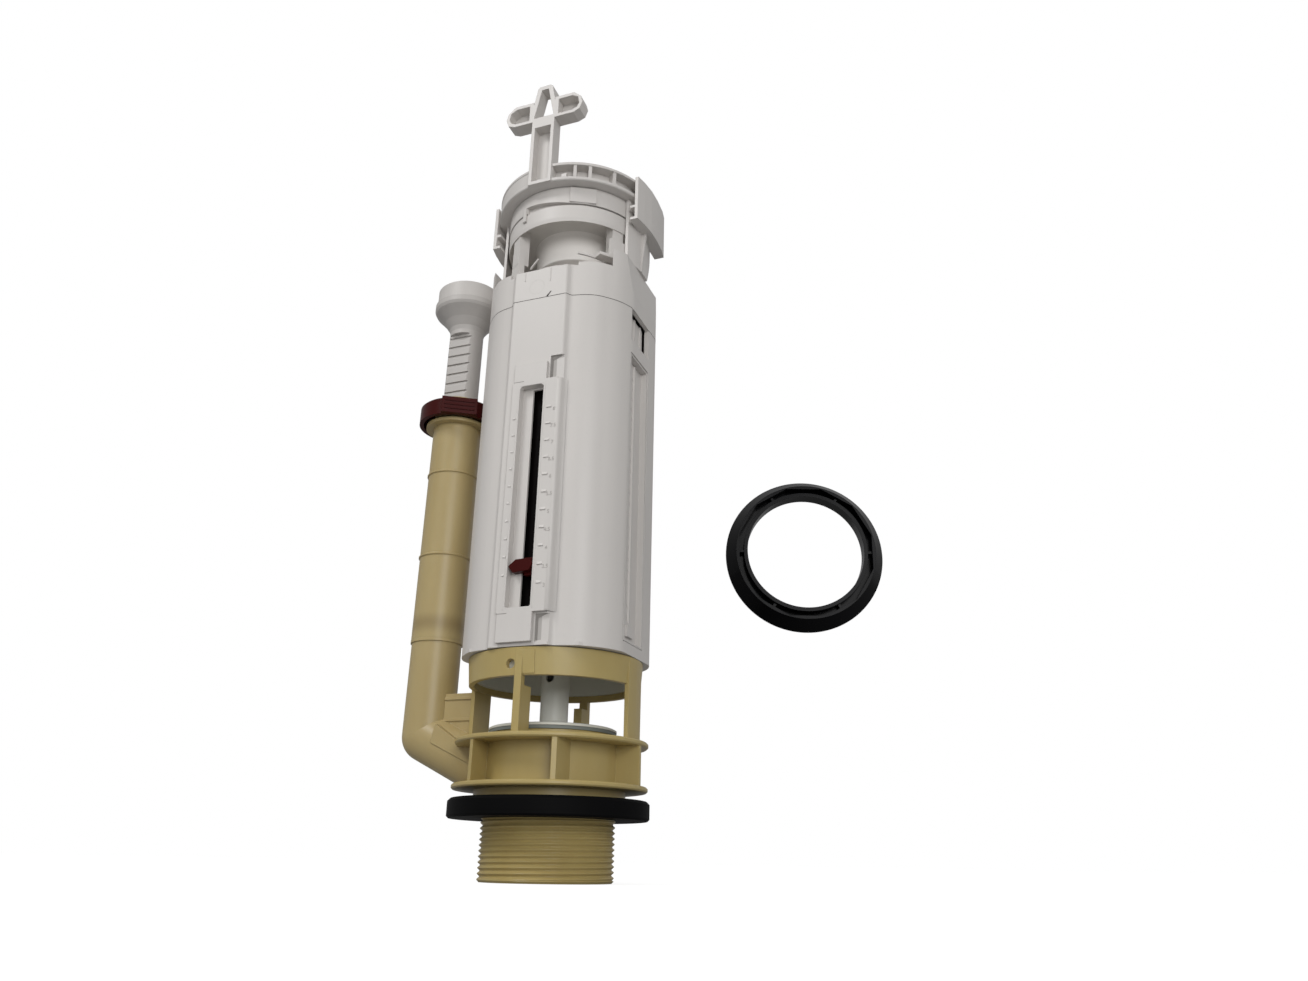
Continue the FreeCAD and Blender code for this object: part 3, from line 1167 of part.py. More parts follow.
def make_top_frame():
    """Upper ring with two flanges, closed left front and open ribbed cells, and its handle."""
    flat_zone = block("top_flat_zone", "0 - bracket_x", "bracket_x", "0 - top_radius - 1",
                      "top_radius + 1", "top_low", "top_high")
    section = revolved("top_section", [
        ("inner_wall_radius - top_wall", "top_low"),
        ("top_radius - 0.5", "top_low"),
        ("top_radius", "top_low + 0.5"),
        ("top_radius", "top_low + flange_wall"),
        ("inner_wall_radius", "top_low + flange_wall"),
        ("inner_wall_radius", "top_high - flange_wall"),
        ("top_radius", "top_high - flange_wall"),
        ("top_radius", "top_high - 0.5"),
        ("top_radius - 0.5", "top_high"),
        ("inner_wall_radius - top_wall", "top_high"),
    ])
    walls = []
    for index, angle in enumerate((-68.8, -58.3, -40.5, 40, 60, 80, 100, 120, 140)):
        rib = block("top_rib_%d" % index, "inner_wall_radius - 0.5", "top_radius - 0.3",
                    "0 - top_wall / 2", "top_wall / 2", "top_low + 1", "top_high - 1")
        walls.append(turned("top_rib_turned_%d" % index, rib, "%.1f" % angle))
    skin = pipe("top_skin", "top_radius - 0.2", "top_radius - 0.2 - top_wall", "top_low + 0.5",
                "top_high - 0.5")
    skin_zone = block("top_skin_zone", "0 - top_radius", "handle_x + 7", "0 - top_radius - 1",
                      "-12", "top_low", "top_high")
    closed_part = common("top_closed", skin, skin_zone)
    body = common("top_trimmed", fuse("top_ring_solid", section, closed_part, *walls), flat_zone)
    stop = block("top_cell_stop", "handle_x + 11.5", "handle_x + 14.5", "0 - top_radius + 2",
                 "0 - inner_wall_radius + 3", "top_low + 1", "top_low + flange_wall + 2.6")
    pads = [
        block("top_bracket_right", "bracket_x - top_wall", "top_radius + 1",
              "0 - bracket_half - 1", "bracket_half + 1", "top_low - 1", "top_high + 1"),
        block("top_bracket_left", "0 - top_radius - 1", "top_wall - bracket_x",
              "0 - bracket_half - 1", "bracket_half + 1", "top_low - 1", "top_high + 1"),
    ]
    solids, cuts = handle_pieces()
    node("top_frame", cut("top_frame", fuse("top_solid", body, stop, *solids), *cuts, *pads))


def make_side_bracket(side, sign):
    """Side bracket: outer wall, rungs and the curved leg that stands on the cap's shoulder."""
    def span(low, high):
        """A block from low to high away from the axis, on the bracket's own side."""
        if sign > 0:
            return low, high
        return "0 - (%s)" % high, "0 - (%s)" % low
    name = "side_bracket_" + side
    wall = prism(name + "_wall", "XY_Plane", [
        ("%d * (%s)" % (sign, x), y) for x, y in (
            ("bracket_x - top_wall", "0 - bracket_half"),
            ("bracket_x", "0 - bracket_half"),
            ("bracket_x + bracket_bulge * 0.55", "0 - bracket_half * 0.66"),
            ("bracket_x + bracket_bulge * 0.95", "0 - bracket_half * 0.25"),
            ("bracket_x + bracket_bulge", "bracket_half * 0.2"),
            ("bracket_x + bracket_bulge * 0.8", "bracket_half * 0.7"),
            ("bracket_x + bracket_bulge * 0.4", "bracket_half"),
            ("bracket_x - top_wall", "bracket_half"),
        )], "bracket_low", "top_high")
    rungs = []
    for index, level in enumerate(("bracket_low", "bracket_low + 7.4")):
        rungs.append(block("%s_rung_%d" % (name, index), *span("leg_inner", "bracket_x - 1"),
                           "0 - bracket_half", "bracket_half", level, "%s + 1.6" % level))
    rungs_cut = cut(name + "_rungs_cut", fuse(name + "_rungs", *rungs),
                    cylinder(name + "_inner", "leg_inner + 0.7", "bracket_low - 1", "top_high"))
    leg_zone = block(name + "_leg_zone", *span("30", "leg_radius + 1"), "0 - leg_half",
                     "leg_half", "shoulder_top", "top_low")
    leg = common(name + "_leg", pipe(name + "_leg_pipe", "leg_radius", "leg_inner",
                                     "shoulder_top", "top_low"), leg_zone)
    slant = prism(name + "_slant", "YZ_Plane", [
        ("leg_half", "bracket_low"),
        ("leg_half + 4", "bracket_low"),
        ("leg_half + 4", "shoulder_top - 1"),
        ("leg_half - 12", "shoulder_top - 1"),
    ], *span("30", "45"))
    leg = cut(name + "_leg_cut", leg, slant)
    gusset = prism(name + "_gusset", "XZ_Plane", [
        ("%d * (leg_radius - 0.6)" % sign, "shoulder_top"),
        ("%d * (leg_radius + 0.1)" % sign, "shoulder_top"),
        ("%d * (bracket_x - 0.4)" % sign, "bracket_low + 0.4"),
        ("%d * (leg_radius - 0.6)" % sign, "bracket_low + 0.4"),
    ], "3.2", "4.8")
    node(name, fuse(name, wall, leg, gusset, rungs_cut))


def build():
    make_outlet_base()
    make_cage()
    make_overflow_elbow()
    make_washer_and_nut()
    make_standpipe()
    make_collar()
    make_riser()
    make_casing()
    make_scale_panel()
    make_full_flush_slider()
    make_side_scale()
    make_float_chamber()
    make_flush_train()
    make_half_float()
    make_cap()
    make_actuator_cup()
    make_bayonet_ring()
    make_top_frame()
    make_side_bracket("right", 1)
    make_side_bracket("left", -1)


build()
doc.recompute()

faults = [item.Name for item in doc.Objects
          if "Invalid" in item.State or "Error" in item.State]
for item in NODES:
    if item.Shape.isNull() or not item.Shape.isValid() or not item.Shape.Solids:
        faults.append(item.Label)
if faults:
    raise RuntimeError("failed objects: " + ", ".join(faults))

os.makedirs("parts", exist_ok=True)
for item in NODES:
    item.Shape.exportStep("parts/%s.step" % item.Label)
    box = item.Shape.BoundBox
    print("%-22s solids %d volume %9.0f  x %7.1f %7.1f  y %7.1f %7.1f  z %7.1f %7.1f" % (
        item.Label, len(item.Shape.Solids), item.Shape.Volume,
        box.XMin, box.XMax, box.YMin, box.YMax, box.ZMin, box.ZMax))
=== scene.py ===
"""Looks of the toilet flush valve: finishes, thread, scales and small moulding marks."""

import json
import math

import bpy
import bmesh
from mathutils import Matrix, Vector


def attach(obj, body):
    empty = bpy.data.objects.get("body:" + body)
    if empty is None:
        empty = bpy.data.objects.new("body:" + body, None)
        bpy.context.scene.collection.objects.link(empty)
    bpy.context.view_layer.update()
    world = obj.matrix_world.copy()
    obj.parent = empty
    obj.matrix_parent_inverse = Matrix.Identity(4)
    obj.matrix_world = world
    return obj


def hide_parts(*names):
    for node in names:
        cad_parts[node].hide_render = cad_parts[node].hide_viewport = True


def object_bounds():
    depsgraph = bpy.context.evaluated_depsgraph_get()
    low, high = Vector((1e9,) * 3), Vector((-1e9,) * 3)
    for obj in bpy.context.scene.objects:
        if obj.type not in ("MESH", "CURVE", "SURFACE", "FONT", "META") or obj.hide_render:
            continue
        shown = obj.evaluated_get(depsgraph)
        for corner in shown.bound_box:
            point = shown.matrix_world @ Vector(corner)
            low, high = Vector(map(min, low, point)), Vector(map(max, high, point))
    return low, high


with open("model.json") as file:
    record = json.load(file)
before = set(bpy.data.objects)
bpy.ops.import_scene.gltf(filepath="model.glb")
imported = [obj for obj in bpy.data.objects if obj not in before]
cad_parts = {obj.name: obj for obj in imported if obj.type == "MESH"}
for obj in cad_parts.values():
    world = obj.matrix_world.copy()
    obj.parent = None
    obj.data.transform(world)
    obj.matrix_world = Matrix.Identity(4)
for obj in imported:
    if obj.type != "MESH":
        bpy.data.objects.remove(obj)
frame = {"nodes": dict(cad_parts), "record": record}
nodes = frame["nodes"]
cad_low, cad_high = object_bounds()
MM = 0.001


# Colours

def srgb(red, green, blue):
    """Linear colour of 8-bit screen values."""
    out = []
    for value in (red, green, blue):
        part = value / 255.0
        out.append(part / 12.92 if part <= 0.04045 else ((part + 0.055) / 1.055) ** 2.4)
    return (out[0], out[1], out[2], 1.0)


def grey(level):
    """Neutral colour of one level."""
    return (level, level, level, 1.0)


def scaled(colour, factor):
    """Colour times a factor."""
    return (colour[0] * factor, colour[1] * factor, colour[2] * factor, 1.0)


# Node trees

CLOUD_SCALE = 34.0
SPECK_SCALE = 900.0
STREAK_SCALE = 160.0
GRAIN_SCALE = 1400.0
WAVE_SCALE = 60.0
EVEN = (1.0, 1.0, 1.0)
MIX_FACTOR, MIX_FIRST, MIX_SECOND, MIX_RESULT = 0, 6, 7, 2
SUBSURFACE_RADIUS = (1.0, 0.75, 0.45)
SUBSURFACE_SCALE = 0.002


class Graph:
    """Node tree with short calls to add, set and join its nodes."""

    def __init__(self, tree, output):
        self.tree = tree
        self.tree.nodes.clear()
        self.output = self.add(output)

    def add(self, kind, **values):
        made = self.tree.nodes.new(kind)
        for key, value in values.items():
            setattr(made, key, value)
        return made

    def join(self, start, end):
        self.tree.links.new(start, end)

    def feed(self, value, end):
        """Sets a socket to a plain value, or joins another socket to it."""
        if isinstance(value, (int, float, tuple)):
            end.default_value = value
        else:
            self.join(value, end)


def new_material(name):
    """Empty material and the graph of its nodes."""
    material = bpy.data.materials.new(name)
    material.use_nodes = True
    return material, Graph(material.node_tree, "ShaderNodeOutputMaterial")


def noise(graph, place, scale, stretch, detail=2.0):
    """Noise over the piece's own coordinates in metres, stretched along the three axes."""
    mapping = graph.add("ShaderNodeMapping")
    mapping.inputs["Scale"].default_value = stretch
    graph.join(place.outputs["Object"], mapping.inputs["Vector"])
    made = graph.add("ShaderNodeTexNoise")
    made.inputs["Scale"].default_value = scale
    made.inputs["Detail"].default_value = detail
    made.inputs["Roughness"].default_value = 0.55
    graph.join(mapping.outputs["Vector"], made.inputs["Vector"])
    return made.outputs["Fac"]


def ramp(graph, source, stops, interpolation="LINEAR"):
    """Colour ramp from a value."""
    made = graph.add("ShaderNodeValToRGB")
    band = made.color_ramp
    band.interpolation = interpolation
    while len(band.elements) > 1:
        band.elements.remove(band.elements[-1])
    band.elements[0].position = stops[0][0]
    band.elements[0].color = stops[0][1]
    for position, colour in stops[1:]:
        stop = band.elements.new(position)
        stop.color = colour
    graph.join(source, made.inputs["Fac"])
    return made.outputs["Color"]


def mix(graph, factor, first, second, blend="MIX"):
    """Mixes two colours; each may be a socket or a colour."""
    made = graph.add("ShaderNodeMix", data_type="RGBA", blend_type=blend)
    graph.feed(factor, made.inputs[MIX_FACTOR])
    graph.feed(first, made.inputs[MIX_FIRST])
    graph.feed(second, made.inputs[MIX_SECOND])
    return made.outputs[MIX_RESULT]


def maths(graph, operation, first, second=0.0):
    """Result of one maths step on sockets or numbers."""
    made = graph.add("ShaderNodeMath", operation=operation)
    graph.feed(first, made.inputs[0])
    graph.feed(second, made.inputs[1])
    return made.outputs[0]


def dimmed(graph, base, amount, source, dark, low, high):
    """Base colour darkened where the source is low."""
    shade = ramp(graph, source, [(low, grey(dark)), (high, grey(1.0))])
    return mix(graph, amount, base, shade, "MULTIPLY")


def banded(graph, place, base, middle, width, shade):
    """Base colour with a soft level band of another shade."""
    apart = graph.add("ShaderNodeSeparateXYZ")
    graph.join(place.outputs["Object"], apart.inputs["Vector"])
    away = maths(graph, "SUBTRACT", apart.outputs["Z"], middle)
    part = maths(graph, "DIVIDE", maths(graph, "ABSOLUTE", away), width)
    band_tone = ramp(graph, part, [(0.0, shade), (1.0, grey(1.0))], "EASE")
    return mix(graph, 1.0, base, band_tone, "MULTIPLY")


def worn(graph, base, colour, wear):
    """Base colour, paler on outer edges."""
    point = graph.add("ShaderNodeNewGeometry")
    edges = ramp(graph, point.outputs["Pointiness"], [(0.50, grey(0.0)), (0.60, grey(1.0))])
    return mix(graph, maths(graph, "MULTIPLY", edges, wear), base, scaled(colour, 1.35))


def edge_highlighted(graph, base, soft, rim):
    """Base colour with a painted highlight line of the rim's colour on rounded edges."""
    flat = graph.add("ShaderNodeNewGeometry")
    turned = graph.add("ShaderNodeVectorMath", operation="DOT_PRODUCT")
    graph.join(soft, turned.inputs[0])
    graph.join(flat.outputs["Normal"], turned.inputs[1])
    line = ramp(graph, turned.outputs["Value"], [(0.72, grey(1.0)), (0.90, grey(0.0))])
    return mix(graph, line, base, rim)


def raised(graph, height, strength, distance, under):
    """Normal that follows a height, over another normal where one is given."""
    made = graph.add("ShaderNodeBump")
    made.inputs["Strength"].default_value = strength
    made.inputs["Distance"].default_value = distance
    graph.join(height, made.inputs["Height"])
    if under:
        graph.join(under, made.inputs["Normal"])
    return made.outputs["Normal"]


def plastic(name, colour, rough=0.36, cloud=0.05, grain=0.04, streak=0.0, edge=0.35,
            subsurface=0.0, specular=0.5, tint=None, band=None, wear=0.06, rim=None):
    """Moulded plastic: clouded colour, fine grain, flow streaks and softened, worn edges; a rim
    colour paints highlight lines on rounded edges.
    """
    material, graph = new_material(name)
    shader = graph.add("ShaderNodeBsdfPrincipled")
    graph.join(shader.outputs["BSDF"], graph.output.inputs["Surface"])
    place = graph.add("ShaderNodeTexCoord")
    broad = noise(graph, place, CLOUD_SCALE, (1.0, 1.0, 0.35), 4.0)
    low = scaled(colour, 1.0 - cloud)
    high = scaled(colour, 1.0 + cloud * 0.6)
    if tint:
        low = tuple(low[index] * tint[index] for index in range(3)) + (1.0,)
    base = ramp(graph, broad, [(0.32, low), (0.68, high)])
    speck = noise(graph, place, SPECK_SCALE, EVEN)
    base = dimmed(graph, base, 0.5, speck, 0.94, 0.25, 0.40)
    if streak:
        lines = noise(graph, place, STREAK_SCALE, (1.0, 1.0, 0.02))
        base = dimmed(graph, base, streak, lines, 0.96, 0.30, 0.7)
    if band:
        base = banded(graph, place, base, *band)
    if wear:
        base = worn(graph, base, colour, wear)
    soft = None
    if edge:
        bevel = graph.add("ShaderNodeBevel", samples=4)
        bevel.inputs["Radius"].default_value = edge * MM
        soft = bevel.outputs["Normal"]
    # The rim colour is a painted highlight along rounded edges.
    if rim:
        base = edge_highlighted(graph, base, soft, rim)
    graph.join(base, shader.inputs["Base Color"])
    matt = ramp(graph, broad, [(0.3, grey(rough - 0.05)), (0.7, grey(rough + 0.06))])
    graph.join(matt, shader.inputs["Roughness"])
    shader.inputs["Specular IOR Level"].default_value = specular
    if subsurface:
        shader.inputs["Subsurface Weight"].default_value = subsurface
        shader.inputs["Subsurface Radius"].default_value = SUBSURFACE_RADIUS
        shader.inputs["Subsurface Scale"].default_value = SUBSURFACE_SCALE
    wave = noise(graph, place, WAVE_SCALE, (1.0, 1.0, 0.3))
    ripple = raised(graph, wave, 0.10, 0.0012, soft)
    fine = noise(graph, place, GRAIN_SCALE, EVEN)
    graph.join(raised(graph, fine, grain, 0.0002, ripple), shader.inputs["Normal"])
    return material


# Materials

YELLOWED = (1.0, 0.97, 0.90)
# Height and half width in metres, and tone, of a darker band around the standpipe.
PIPE_BAND = (0.0916, 0.0065, (0.74, 0.72, 0.70, 1.0))

white = plastic("white_moulding", srgb(209, 205, 201), rough=0.42, cloud=0.025, streak=0.35,
                specular=0.35)
white_inner = plastic("white_inner_moulding", srgb(206, 206, 198), rough=0.40, cloud=0.04,
                      specular=0.35)
# Lighter whites for the cup's underside and drum: painted light against their shade.
cup_painted_light_white = plastic("cup_underside_painted_light", srgb(219, 215, 209), rough=0.42, cloud=0.025,
                    specular=0.3)
drum_painted_light_white = plastic("drum_moulding_painted_light", srgb(243, 239, 234), rough=0.42, cloud=0.025,
                     specular=0.35)
# Darker whites for the riser parts: painted shade where the casing shades them.
riser_painted_shade_white = plastic("riser_moulding_painted_shade", srgb(198, 194, 190), rough=0.42, cloud=0.04,
                      specular=0.35)
tube_painted_shade_white = plastic("tube_moulding_painted_shade", srgb(187, 183, 179), rough=0.42, cloud=0.04,
                     specular=0.35)
# Darker white for the raised figures: painted shade that sets them off.
figure_painted_shade_white = plastic("figure_moulding_painted_shade", srgb(186, 182, 178), rough=0.5, cloud=0.04,
                       specular=0.3, edge=0.0, wear=0.0)
# Darker whites for painted shadow and painted shade in the clip pockets and joint lines.
painted_shadow_white = plastic("moulding_painted_shadow", srgb(150, 146, 142), rough=0.5, cloud=0.04,
                     specular=0.2, edge=0.0, wear=0.0)
painted_shade_white = plastic("moulding_painted_shade_strip", srgb(178, 174, 170), rough=0.5, cloud=0.04,
                      specular=0.2, edge=0.0, wear=0.0)
seam_dark = plastic("seam_shadow", srgb(66, 63, 60), rough=0.7, cloud=0.10, specular=0.1,
                    edge=0.0, wear=0.0)
beige = plastic("beige_moulding", srgb(178, 160, 106), rough=0.36, cloud=0.07, subsurface=0.15,
                tint=YELLOWED, specular=0.4)
beige_pipe = plastic("beige_pipe_moulding", srgb(176, 158, 113), rough=0.36, cloud=0.08,
                     subsurface=0.15, tint=YELLOWED, specular=0.4, band=PIPE_BAND)
dark_red = plastic("dark_red_moulding", srgb(62, 13, 11), rough=0.30, cloud=0.10, wear=0.04,
                   specular=0.10)
# The rim colour paints highlight glints along the nut's edges.
black_plastic = plastic("black_nut_moulding", srgb(4, 4, 6), rough=0.22, cloud=0.10,
                        wear=0.0, grain=0.01, specular=0.065, edge=0.22, rim=srgb(34, 35, 39))
black_strip = plastic("black_strip_plastic", srgb(8, 5, 5), rough=0.45, cloud=0.15,
                      specular=0.04, wear=0.0)
black_rubber = plastic("black_rubber", srgb(9, 9, 10), rough=0.60, cloud=0.2, grain=0.10,
                       specular=0.06, wear=0.01)
grey_rubber = plastic("grey_rubber", srgb(112, 118, 115), rough=0.55, cloud=0.08, grain=0.06)

FINISH = {
    "white": white, "riser_white": riser_painted_shade_white, "beige": beige, "dark_red": dark_red,
    "black_plastic": black_plastic, "black_strip": black_strip, "black_rubber": black_rubber,
    "grey_rubber": grey_rubber,
}
OWN = {
    "overflow_standpipe": beige_pipe, "overflow_elbow": beige_pipe, "valve_stem": white_inner,
    "seal_plate": white_inner, "seal_retainer": white_inner, "float_chamber": white_inner,
    "riser_tube": tube_painted_shade_white,
}


def dress(item, material):
    """Gives a mesh one material."""
    item.data.materials.clear()
    item.data.materials.append(material)


slots = {row["node"]: row["material_slot"] for row in frame["record"]["subparts"]}
for name, item in nodes.items():
    dress(item, OWN.get(name) or FINISH[slots[name]])


# Making pieces

def linked(name, data):
    """New object in the scene."""
    item = bpy.data.objects.new(name, data)
    bpy.context.scene.collection.objects.link(item)
    return item


def piece(name, vertices, faces, material, body, smooth=False):
    """A mesh piece that rides on a body; points are given in millimetres."""
    mesh = bpy.data.meshes.new(name)
    mesh.from_pydata([(x * MM, y * MM, z * MM) for x, y, z in vertices], [], faces)
    mesh.update()
    item = linked(name, mesh)
    if smooth:
        mesh.shade_smooth()
    dress(item, material)
    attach(item, body)


def gather(name, parts, material, body):
    """One mesh piece from several small parts."""
    vertices = []
    faces = []
    for points, sides in parts:
        start = len(vertices)
        vertices += points
        faces += [tuple(index + start for index in side) for side in sides]
    piece(name, vertices, faces, material, body)


def copied(node, name, material):
    """Copy of a node under another name, to be shaped further."""
    mesh = nodes[node].data.copy()
    mesh.name = name
    item = linked(name, mesh)
    dress(item, material)
    return item


def cut_away(mesh, is_skin):
    """Deletes the faces that is_skin picks; gives back their lowest and highest z."""
    work = bmesh.new()
    work.from_mesh(mesh)
    skin = []
    levels = []
    for face in work.faces:
        radii = [math.hypot(v.co.x, v.co.y) / MM for v in face.verts]
        heights = [v.co.z / MM for v in face.verts]
        if is_skin(face, radii, heights):
            skin.append(face)
            levels += heights
    bmesh.ops.delete(work, geom=skin, context="FACES")
    work.to_mesh(mesh)
    work.free()
    return min(levels), max(levels)


def polar(radius, angle, z):
    """Point at a radius and an angle around the valve's axis."""
    return (radius * math.cos(angle), radius * math.sin(angle), z)


def grid_faces(rows, columns, closed=True, looped=False, turned=False):
    """Quads over rows of points; closed joins each row's ends, looped the last and first row."""
    faces = []
    for row in range(rows if looped else rows - 1):
        here = row * columns
        above = (row + 1) % rows * columns
        for column in range(columns if closed else columns - 1):
            after = (column + 1) % columns
            quad = (here + column, here + after, above + after, above + column)
            faces.append((quad[0], quad[3], quad[2], quad[1]) if turned else quad)
    return faces


def extruded(first, second):
    """Closed body between two outlines with the same number of corners."""
    count = len(first)
    sides = [tuple(range(count - 1, -1, -1)), tuple(range(count, 2 * count))]
    for index in range(count):
        after = (index + 1) % count
        sides.append((index, after, count + after, count + index))
    return first + second, sides


def prism(corners, z0, z1):
    """Upright closed prism over three or more corners."""
    return extruded([(x, y, z0) for x, y in corners], [(x, y, z1) for x, y in corners])


def raised_box(low, high, z0, z1, height, spot):
    """Low mark with sloped sides; spot gives the point for a place across, a z and a lift."""
    inset = min(height, (high - low) * 0.25, (z1 - z0) * 0.25)
    base = [spot(low, z0, 0.0), spot(high, z0, 0.0), spot(high, z1, 0.0), spot(low, z1, 0.0)]
    top = [spot(low + inset, z0 + inset, height), spot(high - inset, z0 + inset, height),
           spot(high - inset, z1 - inset, height), spot(low + inset, z1 - inset, height)]
    faces = [(4, 5, 6, 7), (0, 1, 5, 4), (1, 2, 6, 5), (2, 3, 7, 6), (3, 0, 4, 7)]
    return base + top, faces


def figure(name, text, size, height, spot, turn):
    """Raised figures in a darker white, painted shade that sets them off; turn is the rotation of
    the lettering plane.
    """
    curve = bpy.data.curves.new(name, "FONT")
    curve.body = text
    curve.size = size * MM
    curve.extrude = height * 0.5 * MM
    curve.resolution_u = 3
    curve.align_x = "CENTER"
    curve.align_y = "CENTER"
    made = linked(name + "_curve", curve)
    made.matrix_world = Matrix.Translation(Vector(spot) * MM) @ turn
    bpy.context.view_layer.update()
    mesh = bpy.data.meshes.new_from_object(made)
    mesh.transform(made.matrix_world)
    bpy.data.objects.remove(made)
    item = linked(name, mesh)
    dress(item, figure_painted_shade_white)
    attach(item, "base")


# Thread on the outlet

PITCH = 2.309
CREST = 29.8
ROOT = 28.75
CREST_MARGIN = 0.12
THREAD_TOP = 0.6
THREAD_COLUMNS = 144
ROWS_PER_TURN = 8
FLAT_OF_TOOTH = 0.12
RUN_OUT = 0.5


def outlet_skin(face, radii, heights):
    """True for the plain skin that the thread takes the place of."""
    upright = abs(face.normal.z) < 0.3
    return min(radii) > CREST - CREST_MARGIN and max(heights) < THREAD_TOP and upright


def threaded_outlet():
    """Copy of the outlet with its plain skin swapped for a running thread."""
    item = copied("outlet_base", "outlet_with_thread", beige)
    low, high = cut_away(item.data, outlet_skin)
    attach(item, "base")
    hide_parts("outlet_base")
    steps = int((high - low) / PITCH * ROWS_PER_TURN)
    vertices = []
    for row in range(steps + 1):
        z = low + (high - low) * row / steps
        fade = max(0.0, min(1.0, (z - low) / RUN_OUT, (high - z) / RUN_OUT))
        for column in range(THREAD_COLUMNS):
            phase = ((z - low) / PITCH - column / THREAD_COLUMNS) % 1.0
            slope = 1.0 - abs(phase * 2 - 1.0)
            tooth = min(1.0, max(0.0, (slope - FLAT_OF_TOOTH) / (1.0 - 2 * FLAT_OF_TOOTH)))
            radius = CREST - (CREST - ROOT) * (1.0 - tooth) * fade
            vertices.append(polar(radius, 2 * math.pi * column / THREAD_COLUMNS, z))
    piece("outlet_thread_flanks", vertices, grid_faces(steps + 1, THREAD_COLUMNS), beige,
          "base")


threaded_outlet()


# Cup

CUP_WALL_RADII = (30.9, 37.55)
CUP_WALL_LEVELS = (263.8, 296.3)
RIB_BACK_RADIUS = 36.5
RIB_BACK_TOP = 287.2
RIB_FOOT_RADIUS = 34.0
CUP_COLUMNS = 160
CUP_UNDERSIDE = [
    (37.5, 293.6), (36.9, 293.7), (36.3, 294.6), (35.4, 296.2), (33.5, 297.8), (31.0, 298.7),
    (27.0, 299.1), (24.2, 298.7), (22.9, 297.9),
]
CUP_DRUM = [
    (22.9, 297.9), (22.2, 296.6), (22.0, 295.0), (22.0, 288.0), (22.0, 281.2), (21.7, 280.6),
    (21.0, 280.5), (18.0, 280.5), (17.6, 280.0), (17.6, 263.9), (16.0, 263.9), (16.0, 281.9),
    (20.6, 281.9), (20.6, 298.6), (21.2, 300.0), (22.6, 300.7), (31.0, 300.6), (33.6, 299.6),
    (34.9, 297.4), (35.9, 296.1),
]
RIB_ANGLES = (-126, 54, -30, 150)
RIB_HALF = 3.4
RIB_OUTLINE = [
    (31.0, 276.8), (36.9, 276.8), (36.9, 295.9), (35.3, 296.2), (33.6, 297.7), (31.0, 298.6),
]
ARM_SECTION = ((32.6, 0.0), (33.5, 0.0), (33.5, 0.9), (32.6, 0.9))
ARM_RUNS = ((-64.0, -38.0, 276.6, 274.6), (-110.7, -101.7, 271.6, 275.6))
ARM_STEPS = 14


def cup_skin(face, radii, heights):
    """True for the straight wall under the rim, apart from the ribs' backs and feet."""
    if min(radii) < CUP_WALL_RADII[0] or max(radii) > CUP_WALL_RADII[1]:
        return False
    if min(heights) < CUP_WALL_LEVELS[0] or max(heights) > CUP_WALL_LEVELS[1]:
        return False
    middle = face.calc_center_median()
    across = abs(face.normal.y * middle.x - face.normal.x * middle.y) / middle.to_2d().length
    rib_back = min(radii) > RIB_BACK_RADIUS and max(heights) < RIB_BACK_TOP
    rib_foot = face.normal.z < -0.99 and max(radii) > RIB_FOOT_RADIUS
    return across < 0.06 and not rib_back and not rib_foot


def hollowed_cup():
    """Copy of the cup with a hollow underside and a narrow drum hanging inside it."""
    item = copied("actuator_cup", "actuator_cup_open", white)
    cut_away(item.data, cup_skin)
    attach(item, "base")
    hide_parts("actuator_cup")
    # The underside and the drum take lighter whites: painted light.
    for name, run, material in (("cup_underside", CUP_UNDERSIDE, cup_painted_light_white),
                                ("cup_drum", CUP_DRUM, drum_painted_light_white)):
        vertices = [polar(radius, 2 * math.pi * column / CUP_COLUMNS, z)
                    for radius, z in run for column in range(CUP_COLUMNS)]
        faces = grid_faces(len(run), CUP_COLUMNS, turned=True)
        piece(name, vertices, faces, material, "base", True)


def cup_fins():
    """Ribs between the hollow underside and the cup's feet."""
    parts = []
    for degrees in RIB_ANGLES:
        angle = math.radians(degrees)
        out = Vector((math.cos(angle), math.sin(angle)))
        side = Vector((-out.y, out.x))
        outlines = []
        for wide in (RIB_HALF, -RIB_HALF):
            places = [(out * reach + side * wide, z) for reach, z in RIB_OUTLINE]
            outlines.append([(spot.x, spot.y, z) for spot, z in places])
        parts.append(extruded(*outlines))
    gather("cup_fins", parts, white, "base")


def cup_arms():
    """Thin bowed arms beside the ribs."""
    for number, (start, end, low, high) in enumerate(ARM_RUNS):
        points = []
        for step in range(ARM_STEPS + 1):
            part = step / ARM_STEPS
            angle = math.radians(start + (end - start) * part)
            z = low + (high - low) * part
            points += [polar(reach, angle, z + rise) for reach, rise in ARM_SECTION]
        last = ARM_STEPS * 4
        ends = [(3, 2, 1, 0), (last, last + 1, last + 2, last + 3)]
        piece("cup_arm_%d" % number, points, grid_faces(ARM_STEPS + 1, 4) + ends, white,
              "base")


hollowed_cup()
cup_fins()
cup_arms()


# Lock nut

NUT_CENTRE = (110.66, 52.2, 131.15)
NUT_FACE_DEGREES = 18.5
NUT_TURN_DEGREES = -15.5


def turned_nut():
    """Copy of the nut, turned on its own axis to the photo's position of its flats."""
    item = copied("lock_nut", "lock_nut_turned", black_plastic)
    middle = Vector(NUT_CENTRE) * MM
    face = math.radians(NUT_FACE_DEGREES)
    axis = Vector((math.sin(face), -math.cos(face), 0.0))
    turn = Matrix.Rotation(math.radians(NUT_TURN_DEGREES), 4, axis)
    item.data.transform(Matrix.Translation(middle) @ turn @ Matrix.Translation(-middle))
    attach(item, "base")
    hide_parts("lock_nut")


turned_nut()


# Seam between casing and cap

SEAM = 246.0
SEAM_BELOW = 0.16
SEAM_ABOVE = 0.12
SEAM_LIFT = 0.05
CASING_DEPTH = 60
OUTER_REACH = 12.0


